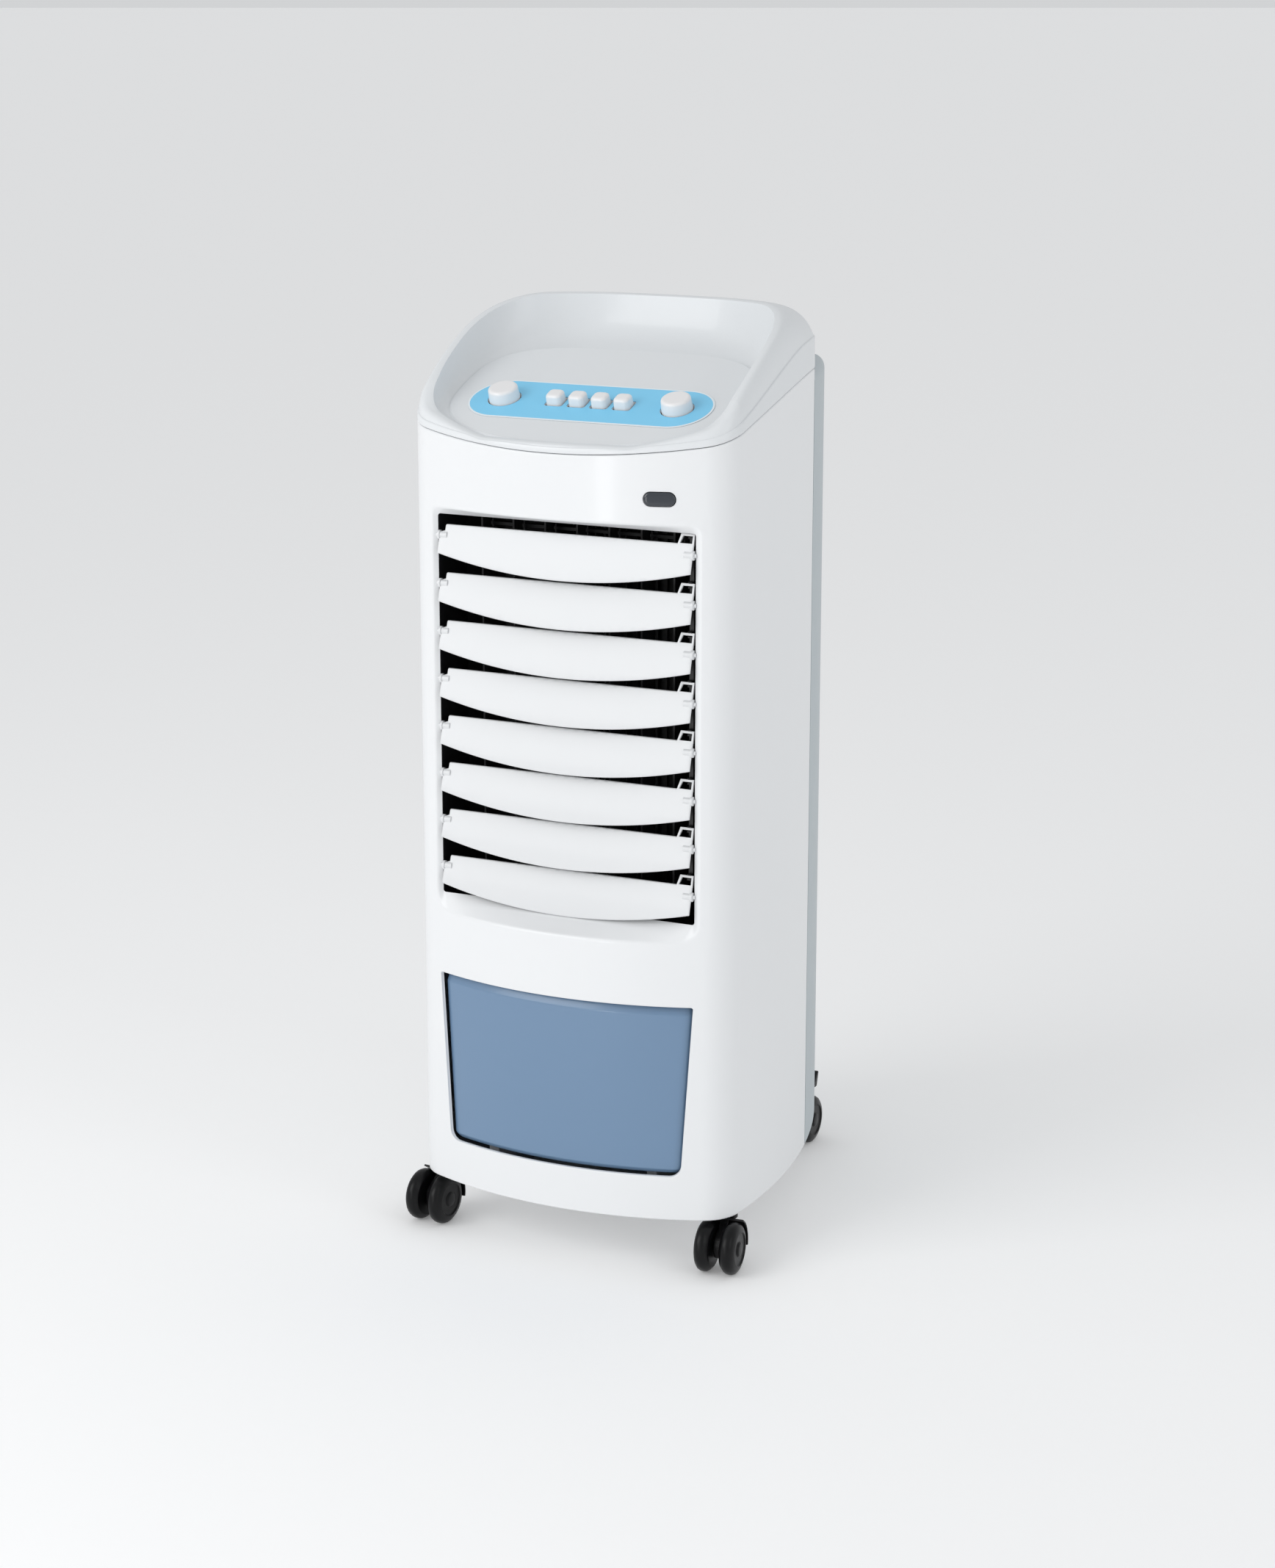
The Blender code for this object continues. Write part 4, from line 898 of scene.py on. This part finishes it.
def band_z(y):
    """Top of the cover's upright outer band."""
    depth = y - FRONT_Y
    rise = 0.0050 + 0.0190 * eased(depth, 0.0, 0.17)
    return min(parting_z(y) + rise, rim_z(y) - 0.0016)


def floor_edge(x, y):
    """Where the line from the panel's middle to a point leaves the panel."""
    dx, dy = x, y - at(FLOOR_MIDDLE)
    power = 2.5 if dy < 0 else 3.5
    scale = (abs(dx / FLOOR_HALF) ** power + abs(dy / FLOOR_REACH) ** power) ** (-1 / power)
    return (dx * scale, at(FLOOR_MIDDLE) + dy * scale)


def ridge_point(outer, offset):
    """Crest of the rim: beside the outline in front, rounding in towards the back."""
    dx, dy = outer[0], outer[1] - at(RIDGE_MIDDLE)
    if dy <= 0:
        return offset
    half = HALF_WIDTH - RIDGE_INSET
    scale = (abs(dx / half) ** 2.6 + (dy / RIDGE_REACH) ** 2.6) ** (-1 / 2.6)
    return (dx * scale, at(RIDGE_MIDDLE) + dy * scale)


def cover_stations():
    right = COVER.stations(COVER.half_length, 0.8)
    return [-s for s in reversed(right[1:-1])] + right


def cover_columns():
    """For every station: its length, outer y, crest of the rim and panel edge."""
    columns = []
    for s in cover_stations():
        outer = COVER.point(s)
        ridge = ridge_point(outer, COVER.point(s, RIDGE_INSET))
        columns.append((s, outer[1], ridge, floor_edge(*ridge)))
    return columns


def outer_profile(s, y, ridge):
    """Outer face of the cover from its foot to the ridge as (x, y, z) points."""
    foot, band, top = parting_z(y), band_z(y), rim_z(y)
    points = [(COVER_WALL, foot + GAP), (0.0008, foot + GAP), (0.0002, foot + GAP + 0.0003)]
    points += [(0.0, foot + GAP + 0.0009), (0.0, foot + 0.0030)]
    points += [(0.0002, band - 0.0012), (0.0003, band - 0.0006), (0.0006, band - 0.0002), (0.0012, band)]
    lower = [(*COVER.point(s, i), z) for i, z in points]
    knee = Vector((0.10 + 0.14 * rearward(y), top - 0.10 * (top - band)))
    swell = [bezier(Vector((0.0, band)), knee, Vector((1.0, top)), k / 12) for k in range(1, 13)]
    return lower + [(*lerp(lower[-1][:2], ridge, t), z) for t, z in swell]


def inner_profile(y, ridge, edge):
    """Basin side from the ridge through the groove to the panel's edge."""
    top, low = rim_z(y), floor_z(edge[1])
    back = rearward(y)
    gap = math.dist(ridge, edge)
    start, end = Vector((0.0, top)), Vector((1.0, low))
    deep = 0.0010 + (TROUGH_DEEP - 0.0010) * back
    groove = Vector((1 - (0.0016 + 0.012 * back) / gap, low - deep))
    rolled = Vector((min(0.0050 / gap, 0.34), top - 0.0010))
    knee = Vector((max(0.42 - 0.20 * back, rolled[0] + 0.08), low + 0.08 * max(top - low, 0.0)))
    run = [bezier(start, Vector((rolled[0] * 0.6, top)), rolled, k / 4) for k in range(1, 5)]
    run += [cubic(rolled, rolled + (knee - rolled) * 0.85, knee, groove, k / 16) for k in range(1, 17)]
    run += [Vector((1 - 0.0007 / gap, low - deep * (1 - 0.55 * back)))]
    run += [Vector((1 - 0.0002 / gap, low - 0.0004)), end]
    return [(*lerp(ridge, edge, t), z) for t, z in run]


def cubic(a, b, c, d, t):
    return a * (1 - t) ** 3 + b * 3 * t * (1 - t) ** 2 + c * 3 * t**2 * (1 - t) + d * t**3


def top_cover():
    skin = Skin()
    columns = cover_columns()
    profiles = [outer_profile(s, y, ridge) + inner_profile(y, ridge, edge) for s, y, ridge, edge in columns]
    made = skin.strips([list(loop) for loop in zip(*profiles)])
    floor = made[-1]
    outer = [tuple(skin.points[i][:2]) for i in floor]
    tilt = math.cos(panel_tilt())
    holes = []
    half = BUTTON_SIDE / 2 + 0.0007
    round_hole = circle(KNOB_RADIUS + 0.0007, 40)
    square_hole = rounded(-half, half, -half, half, 0.0028, 0.0028)
    for x, hole in [(-KNOB_X, round_hole), (KNOB_X, round_hole)] + [(x, square_hole) for x in button_xs()]:
        holes.append([(x + u, at(PANEL_DEPTH) + v * tilt) for u, v in hole])
    points, triangles = triangulated(outer, holes)
    top = floor + skin.loop([(x, y, floor_z(y)) for x, y in points[len(floor):]])
    under = skin.loop([(x, y, floor_z(y) - COVER_WALL) for x, y in points])
    skin.sheet(top, under, triangles)
    skin.walls(top, under, holes, len(floor))
    hidden = []
    for s, y, ridge, edge in columns:
        low, top_z, back = floor_z(edge[1]), rim_z(y), rearward(y)
        drop = COVER_WALL + 0.0010 + (TROUGH_DEEP - 0.0010) * back
        hidden.append([
            (*lerp(ridge, edge, 0.80), low - drop),
            (*lerp(ridge, edge, max(0.42 - 0.20 * back, 0.3)), low - drop),
            (*ridge, max(top_z - 0.0034, low - drop + 0.0006)),
            (*COVER.point(s, 0.0036), min(band_z(y) - 0.0010, top_z - 0.0036)),
        ])
    inside_loops = skin.strips([list(loop) for loop in zip(*hidden)])
    skin.strip(under[:len(floor)], inside_loops[0])
    skin.strip(inside_loops[-1], made[0])
    fine("top_cover", skin, "cover", 50, "cabinet")


# ---- controls -------------------------------------------------------------------------


def panel_tilt():
    return math.atan(FLOOR_SLOPE)


def on_panel(x=0.0):
    """Matrix from panel coordinates, w upright on it, to the frame."""
    home = Matrix.Translation((x, at(PANEL_DEPTH), floor_z(at(PANEL_DEPTH))))
    return home @ Matrix.Rotation(panel_tilt(), 4, "X")


def button_xs():
    return [BUTTON_PITCH * (i - 1.5) for i in range(4)]


def label_holes(grow):
    holes = [circle(KNOB_RADIUS + grow, 40, (x, 0.0)) for x in (-KNOB_X, KNOB_X)]
    for x in button_xs():
        half = BUTTON_SIDE / 2 + grow
        holes.append(rounded(x - half, x + half, -half, half, 0.0026, 0.0026))
    return holes


def sheet_with_holes(outer, holes, low, high, home):
    skin = Skin()
    points, triangles = triangulated(outer, holes)
    top = skin.loop([home @ Vector((u, v, high)) for u, v in points])
    under = skin.loop([home @ Vector((u, v, low)) for u, v in points])
    skin.sheet(top, under, triangles)
    skin.walls(top, under, [outer] + holes)
    return skin


def control_label():
    edge = stadium(LABEL_HALF, LABEL_RADIUS, 40)
    inner = stadium(LABEL_HALF - LABEL_BORDER, LABEL_RADIUS - LABEL_BORDER, 40)
    blue = sheet_with_holes(inner, label_holes(0.0011), 0.0002, 0.0006, on_panel())
    white = sheet_with_holes(edge, [inner], 0.0002, 0.0006, on_panel())
    piece("control_label_print", blue, M["label"], "cabinet", ["control_label"], 35, False)
    piece("control_label_border", white, M["border"], "cabinet", (), 35, False)


def knob(name, x):
    profile = [(-0.0065, 0.0), (-0.0065, 0.003), (-0.002, 0.003), (-0.002, KNOB_RADIUS - 0.0002)]
    profile += [(0.0, KNOB_RADIUS), (0.0072, KNOB_RADIUS - 0.0005)]
    for inset, drop in quarter(CONTROL_ROUND, 6):
        profile.append((KNOB_HEIGHT + drop, KNOB_RADIUS - 0.0005 - inset))
    profile += [(KNOB_HEIGHT, 0.004), (KNOB_HEIGHT, 0.0)]
    home = on_panel(x)
    skin = turned(Skin(), profile, 64, lambda u, v, w: home @ Vector((u, v, w)))
    fine(name, skin, "knob", 40)


def push_button(name, x):
    home = on_panel(x)
    stations = [(0.0, -0.002), (0.0001, 0.002), (0.0003, 0.0056)]
    stations += [(0.0003 + inset, BUTTON_HEIGHT + drop) for inset, drop in quarter(CONTROL_ROUND, 6)]
    loops = []
    for inset, w in stations + [(0.0045, 0.0081)]:
        half = BUTTON_SIDE / 2 - inset
        radius = max(0.0036 - 0.5 * inset, 0.0008)
        outline = rounded(-half, half, -half, half, radius, radius, 6)
        loops.append([home @ Vector((u, v, w)) for u, v in outline])
    fine(name, Skin().lofted(loops), "knob", 40)


# ---- louvres --------------------------------------------------------------------------


def louvre_place(i):
    home = Matrix.Translation((0, at(LOUVRE_DEPTH), LOUVRE_TOP_Z - i * LOUVRE_PITCH))
    return home @ Matrix.Rotation(LOUVRE_TILT, 4, "X")


def blade_outline():
    """Crescent blade seen square on, x across and the bowed edge towards -y."""
    bow = []
    for i in range(61):
        x = LOUVRE_HALF * (-1 + i / 30)
        bow.append((x, -(BLADE_BOW - BLADE_BOW_LOSS * (x / LOUVRE_HALF) ** 2)))
    right = arc((LOUVRE_HALF - 0.0012, 0.0068), 0.0012, 0.0, math.pi / 2, 4)
    left = arc((-0.0956, 0.0068), 0.0012, math.pi / 2, math.pi, 4) + [(-0.0968, 0.0034)]
    left += arc((-LOUVRE_HALF + 0.0012, 0.0012), 0.0012, math.pi / 2, math.pi, 3)
    return bow + right + left


def louvre(i):
    name = f"louvre_{i + 1}"
    home = louvre_place(i)
    skin = Skin()

    def bent(u, v, w):
        """The blade's slight camber towards the room."""
        return home @ Vector((u, v, w + 0.0006 * math.cos(math.pi * (v + 0.009) / 0.034)))

    outline = resampled(blade_outline(), 0.004)
    stations = [(0.0008, -LOUVRE_THICK / 2), (0.00025, -LOUVRE_THICK / 2 + 0.0003), (0.0, 0.0)]
    stations += [(0.00025, LOUVRE_THICK / 2 - 0.0003), (0.0008, LOUVRE_THICK / 2)]
    rims = [grown(outline, -inset) for inset, _ in stations]
    made = skin.strips([[bent(u, v, w) for u, v in rim] for rim, (_, w) in zip(rims, stations)])
    across = [LOUVRE_HALF * 0.96 * k / 12 for k in range(-12, 13)]
    rows = [(u, v) for u in across for v in (-0.018, -0.012, -0.006, 0.0, 0.005)]
    rows = [p for p in rows if inside(p, grown(outline, -0.0025))]
    for ids, rim, (_, w) in ((made[0], rims[0], stations[0]), (made[-1], rims[-1], stations[-1])):
        points, triangles = triangulated(rim, [], rows)
        full = ids + skin.loop([bent(u, v, w) for u, v in points[len(rim):]])
        skin.faces += [tuple(full[k] for k in face) for face in triangles]
    pin = [(0.0945, 0.0), (0.0945, 0.0026), (0.1002, 0.0026), (0.1002, 0.0034), (0.1018, 0.0034)]
    pin += [(0.1022, 0.0030), (0.1022, 0.0015), (0.1038, 0.0015), (0.1038, 0.0)]
    for side in (-1, 1):
        turned(skin, pin, 20, lambda u, v, w, side=side: home @ Vector((side * w, u, v)))
    loop_frame(skin, home)
    fine(name, skin, "louvre", 40)


def loop_frame(skin, home):
    """Square eye at the blade's right end, its left post leaning in towards the top."""
    top, half, flat = LINK_ARM + 0.0011, 0.0009, 0.0002
    outer = [(EYE_LEFT, EYE_FOOT), (LOUVRE_HALF, EYE_FOOT), (LOUVRE_HALF, top), (EYE_LEFT + EYE_LEAN, top)]
    right, head = LOUVRE_HALF - EYE_BAR, top - EYE_BAR - 0.0002
    hole = [(EYE_LEFT + EYE_BAR + 0.0004, EYE_FOOT + EYE_BAR), (right, EYE_FOOT + EYE_BAR)]
    hole += [(right, head), (EYE_LEFT + EYE_LEAN + EYE_BAR, head)]
    loops = []
    for outline, sign in ((hole, 1), (outer, -1)):
        near = grown(outline, sign * flat)
        stations = ((near, -half), (outline, flat - half), (outline, half - flat), (near, half))
        loops.append([[home @ Vector((u, v, w)) for u, v in points] for points, w in stations])
    inner, rim = loops
    skin.ring(inner + list(reversed(rim)))


# ---- tank -----------------------------------------------------------------------------


def tank_half(z, shrink):
    share = (z - WINDOW_LOW) / (WINDOW_HIGH - WINDOW_LOW)
    return WINDOW_HALF_LOW + share * (WINDOW_HALF_HIGH - WINDOW_HALF_LOW) - shrink


def tank_loop(z, shrink, face):
    """Plan of the tank: the bow with rounded front corners, straight sides, narrower back."""
    half = tank_half(z, shrink)
    bow = [(half * k / 30, bow_y(half * k / 30, face)) for k in range(-28, 29)]
    side_y = bow_y(half, face) + TANK_CORNER
    p, q, r = bow[-1], (half, bow_y(half, face)), (half, side_y)
    turn = []
    for a in (k / 6 for k in range(1, 6)):
        turn.append(tuple(p[i] * (1 - a) ** 2 + 2 * q[i] * a * (1 - a) + r[i] * a * a for i in (0, 1)))
    back = at(TANK_BACK) - (shrink - TANK_GAP)
    narrow = half - TANK_NARROWING
    right = turn + [(half, side_y), (half, at(TANK_STRAIGHT)), (narrow, back - 0.004), (narrow - 0.004, back)]
    return [(x, y, z) for x, y in bow + right + [(-x, y) for x, y in reversed(right)]]


def water_tank():
    """Bevelled tank, up its outside from the foot and down its inside to the floor."""
    low, high = WINDOW_LOW + TANK_GAP, WINDOW_HIGH - TANK_GAP
    g, w, face = TANK_GAP, TANK_WALL, TANK_FACE
    stations = [
        (low, g + 0.0034, 0.0076), (low + 0.0004, g + 0.0022, 0.0062), (low + 0.0030, g + 0.0004, 0.0043),
        (low + 0.0042, g, face), (0.12, g, face), (0.17, g, face), (high - 0.0072, g, face),
        (high - 0.0060, g + 0.0002, 0.0043), (high - 0.0008, g + 0.0010, 0.0066), (high, g + 0.0014, 0.0074),
        (high, g + w, 0.0074 + w), (low + 0.0075, g + w, face + w), (low + w, g + w + 0.004, 0.0096),
    ]
    fine("water_tank", Skin().lofted([tank_loop(*station) for station in stations]), "tank", 28)


# ---- casters --------------------------------------------------------------------------


def stem_places():
    places = [(-FRONT_STEM[0], at(FRONT_STEM[1])), (FRONT_STEM[0], at(FRONT_STEM[1]))]
    return places + [(-REAR_STEM[0], at(REAR_STEM[1])), (REAR_STEM[0], at(REAR_STEM[1]))]


AXLE_Z = WHEEL_RADIUS * math.cos(math.pi / 20)


def hood_outline():
    """Side view of the web between the wheels as (y, z), counter-clockwise."""
    key = [(0.0070, 0.0400), (-0.0070, 0.0400), (-0.0100, 0.0345), (-0.0190, 0.0290), (-0.0240, 0.0250)]
    key += [(-0.0255, 0.0190), (-0.0235, 0.0125), (-0.0190, 0.0105), (-0.0120, 0.0125), (0.0010, 0.0215)]
    return key + [(0.0060, 0.0300)]


def fender_outline():
    """Side view of the fender that wraps the wheels on the stem's side."""
    centre, start, end = (-TRAIL, AXLE_Z), math.radians(-12), math.radians(64)
    return arc(centre, FENDER_OUTER, start, end, 18) + arc(centre, FENDER_INNER, end, start, 18)


def caster(name, x, y, turn, braked):
    home = Matrix.Translation((x, y, 0)) @ Matrix.Rotation(turn, 4, "Z")
    fork = Skin()

    def side_on(u, v, w):
        return home @ Vector((w, u, v))

    def plan_on(u, v, w):
        return home @ Vector((u, v, w))

    hood = hood_outline()
    soft_prism(fork, curve_through(hood[1:] + hood[:1], 4), -0.0033, 0.0033, 0.0009, side_on)
    soft_prism(fork, resampled(fender_outline(), 0.0020), -0.0150, 0.0150, 0.0006, side_on, 2)
    soft_prism(fork, circle(0.0072, 32), 0.0360, BASE_Z - 0.0008, 0.0008, plan_on)
    soft_prism(fork, circle(0.0040, 24), 0.036, BASE_Z + 0.009, 0.0006, plan_on)
    if braked:
        lug = [(-0.0195, 0.020), (-0.0215, 0.0405), (-0.0235, 0.0432)]
        lug += [(-0.0272, 0.0432), (-0.0290, 0.0405), (-0.0255, 0.020)]
        soft_prism(fork, lug, -0.0022, 0.0022, 0.0005, side_on, 2)
        soft_prism(fork, circle(0.0012, 16, LEVER_PIVOT), -0.0052, 0.0052, 0.0003, side_on, 2)
    fine(f"caster_fork_{name}", fork, "caster", 35)
    wheels = Skin()
    tread = [(0.0040, 0.0), (0.0040, 0.0150), (0.0044, 0.0160), (0.0068, 0.0186), (0.0082, 0.0193)]
    tread += [(0.0098, WHEEL_RADIUS), (0.0116, 0.0194), (0.0134, 0.0186), (0.0148, 0.0168)]
    tread += [(0.0156, 0.0145), (0.0159, 0.0130)]
    hub = [(0.0150, 0.0122), (0.0150, 0.0060), (0.0160, 0.0052), (0.0164, 0.0040), (0.0164, 0.0)]
    axle = [(-0.0060, 0.0), (-0.0060, 0.0021), (0.0060, 0.0021), (0.0060, 0.0)]
    for side, profile, sides in ((-1, tread + hub, 64), (1, tread + hub, 64), (1, axle, 20)):

        def on_axle(u, v, w):
            return home @ Vector((side * w, -TRAIL + u, AXLE_Z + v))

        turned(wheels, profile, sides, on_axle)
    fine(f"caster_wheels_{name}", wheels, "wheel", 35)
    if braked:
        py, pz = LEVER_PIVOT
        lever = Skin()
        tab = [(py - 0.0048, pz + 0.0030), (py + 0.0018, pz + 0.0030), (py - 0.0046, pz + 0.0146)]
        tab += [(py - 0.0056, pz + 0.0152), (py - 0.0076, pz + 0.0152), (py - 0.0083, pz + 0.0144)]
        soft_prism(lever, tab, -LEVER_TAB_HALF, LEVER_TAB_HALF, 0.0007, side_on, 3)
        cheek = [(py - 0.0028, pz - 0.0018), (py + 0.0028, pz - 0.0018)]
        cheek += [(py + 0.0024, pz + 0.0050), (py - 0.0050, pz + 0.0050)]
        for low, high in ((-0.0062, -0.0027), (0.0027, 0.0062)):
            soft_prism(lever, cheek, low, high, 0.0005, side_on, 2)
        fine(f"brake_lever_{name}", lever, "caster", 35)


# ---- back and inside ------------------------------------------------------------------


def blower():
    """Cross-flow drum with curved blades between its discs."""
    low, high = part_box("fan_housing")[0].z + 0.0085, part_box("fan_housing")[1].z - 0.0085
    skin = Skin()
    centre = Vector((0.0, at(DRUM_DEPTH), 0.0))

    def on_drum(u, v, w):
        return centre + Vector((u, v, w))

    edge, half = DRUM_RADIUS - 0.0004, 0.0010
    for k in range(5):
        z = low + (high - low) * k / 4
        bore = 0.0340 if 0 < k < 4 else 0.0029
        disc = ((bore, z - half), (edge, z - half), (DRUM_RADIUS, z), (edge, z + half), (bore, z + half))
        skin.ring([[on_drum(u, v, w) for u, v in circle(r, 72)] for r, w in disc])
    face = curve_through([(0.0355, -0.0026), (0.0402, -0.0008), (0.0440, 0.0026)], 4)
    blade = face + [(x - 0.0003, y + 0.0010) for x, y in reversed(face)]
    for k in range(DRUM_BLADES):
        spin = Matrix.Rotation(2 * math.pi * k / DRUM_BLADES, 2)
        skin.bar([tuple(spin @ Vector(p)) for p in blade], (low, high), on_drum)
    shaft = [(low - 0.006, 0.0), (low - 0.006, 0.003), (high + 0.016, 0.003), (high + 0.016, 0.0)]
    turned(skin, shaft, 24, on_drum)
    fine("blower_wheel", skin, "duct", 35)


def cooling_pad():
    """Corrugated cellulose: fluted sheets side by side, seen at their wavy ends."""
    low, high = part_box("cooling_pad")
    skin = Skin()
    pitch = (high.x - low.x) / PAD_SHEETS
    steps = PAD_WAVES * 4
    for k in range(PAD_SHEETS):
        middle = low.x + pitch * (k + 0.5)
        line = []
        for i in range(steps + 1):
            swing = math.sin(2 * math.pi * i / 4 + (math.pi if k % 2 else 0.0))
            line.append((middle + 0.42 * pitch * swing, low.z + (high.z - low.z) * i / steps))
        outline = [(x + 0.0004, z) for x, z in line] + [(x - 0.0004, z) for x, z in reversed(line)]
        skin.bar(outline, (low.y + 0.0004, high.y - 0.0004), along_y)
    edge = 0.0006
    for z in (low.z, high.z - edge):
        skin.bar(rounded(low.x, high.x, low.y, high.y, 0.0005, 0.0005, 2), (z, z + edge), along_z)
    piece("cooling_pad_flutes", skin, M["pad"], "cabinet", ["cooling_pad"], 40, False)


def filter_net():
    """Woven nylon net in its thin frame."""
    low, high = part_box("filter_mesh")
    skin = Skin()
    middle = (low.y + high.y) / 2
    width, height = high.x - low.x - 0.004, high.z - low.z - 0.004
    columns, rows = int(width / NET_PITCH), int(height / NET_PITCH)
    for k in range(1, columns):
        x = low.x + 0.002 + width * k / columns
        skin.bar(circle(NET_WIRE, 5, (x, middle - NET_WIRE)), (low.z + 0.001, high.z - 0.001), along_z)
    for k in range(1, rows):
        z = low.z + 0.002 + height * k / rows
        wire = [(middle + NET_WIRE + v, z + u) for u, v in circle(NET_WIRE, 5)]
        skin.bar(wire, (low.x + 0.001, high.x - 0.001), along_x)
    outer = rounded(low.x, high.x, low.z, high.z, 0.002, 0.002, 4)
    inner = rounded(low.x + 0.003, high.x - 0.003, low.z + 0.003, high.z - 0.003, 0.001, 0.001, 4)
    stations = ((outer, low.y), (outer, high.y), (inner, high.y), (inner, low.y))
    skin.ring([[(x, y, z) for x, z in outline] for outline, y in stations])
    piece("filter_net", skin, M["net"], "filter_panel", ["filter_mesh"], 40, False)


def filter_panel():
    """Back grille: a rounded frame, slanting slats and three uprights."""
    low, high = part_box("filter_panel")
    skin = Skin()
    near, far, border = low.y, high.y, GRILLE_BORDER
    outer = resampled(rounded(low.x, high.x, low.z, high.z, 0.0028, 0.0028, 5), 0.02)
    left, right, foot, head = low.x + border, high.x - border, low.z + border, high.z - border
    inner = [(max(min(x, right), left), max(min(z, head), foot)) for x, z in outer]
    loops = []
    for y, inset in ((near, 0.0), (far - 0.0010, 0.0), (far - 0.0003, 0.0003), (far, 0.0010)):
        loops.append([(x, y, z) for x, z in grown(outer, -inset)])
    for y, out in ((far, 0.0010), (far - 0.0006, 0.0), (near, 0.0)):
        loops.append([
            (x + math.copysign(out, x), y, z + math.copysign(out, z - GRILLE_MIDDLE)) for x, z in inner
        ])
    skin.ring(loops)
    for k in range(GRILLE_ROWS):
        z = low.z + border + (high.z - low.z - 2 * border) * (k + 0.5) / GRILLE_ROWS
        slat = [(near + 0.0004, z + 0.0030), (near + 0.0004, z + 0.0016), (far - 0.0012, z - 0.0030)]
        slat += [(far - 0.0006, z - 0.0028), (far - 0.0006, z - 0.0016)]
        skin.bar(slat, (left - 0.0005, right + 0.0005), along_x)
    for x in (-0.030, 0.0, 0.030):
        upright = rounded(x - 0.0014, x + 0.0014, near, near + 0.0016, 0.0004, 0.0004, 2)
        skin.bar(upright, (foot - 0.0005, head + 0.0005), along_z)
    fine("filter_panel", skin, "rear", 35)


def cable_gland():
    """Ribbed rubber bush round the lead's hole."""
    low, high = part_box("cable_gland")
    x, z = (low.x + high.x) / 2, (low.z + high.z) / 2
    start, reach = low.y, high.y - low.y
    profile = [(0.0, 0.0), (0.0, 0.0049), (0.0062, 0.0049)]
    profile += [(0.0064, 0.0080), (0.0082, 0.0080), (0.0088, 0.0074)]
    for k in range(3):
        w, less = 0.0092 + k * 0.0013, 0.0004 * k
        profile += [(w, 0.0064 - less), (w + 0.0004, 0.0058 - less), (w + 0.0008, 0.0062 - less)]
    profile += [(reach, 0.0050), (reach, 0.0034), (reach - 0.006, 0.0032), (reach - 0.006, 0.0)]
    skin = turned(Skin(), profile, 40, lambda u, v, w: Vector((x + u, start + w, z + v)))
    fine("cable_gland", skin, "caster", 40, "cabinet")


def carried_over():
    """CAD nodes whose own shape stays, with their finished materials."""
    looks = {
        "inner": ("base", "partition", "distribution_tray", "selector_switch", "timer_mechanism"),
        "duct": ("speed_switch", "fan_housing", "water_pump"),
        "vane": ("vane_link", "swing_crank", "louvre_link", *[f"vane_{i}" for i in range(1, 8)]),
        "steel": ("fan_motor", "swing_motor"),
        "hose": ("pump_hose",),
    }
    for look, nodes in looks.items():
        for node in nodes:
            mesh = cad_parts[node].data
            mesh.materials.clear()
            mesh.materials.append(M[look])


# ---- the whole cooler -----------------------------------------------------------------


camera()
studio()
front_shell()
indicator_lens()
rear_housing()
top_cover()
control_label()
knob("function_knob", -KNOB_X)
knob("timer_knob", KNOB_X)
for i, x in enumerate(button_xs()):
    push_button(f"push_button_{i + 1}", x)
for i in range(LOUVRE_COUNT):
    louvre(i)
water_tank()
for corner_name, (x, y) in zip(("front_left", "front_right", "rear_left", "rear_right"), stem_places()):
    rear = corner_name.startswith("rear")
    caster(corner_name, x, y, math.pi if rear else math.copysign(FRONT_TOE, x), rear)
blower()
cooling_pad()
filter_panel()
filter_net()
cable_gland()
carried_over()
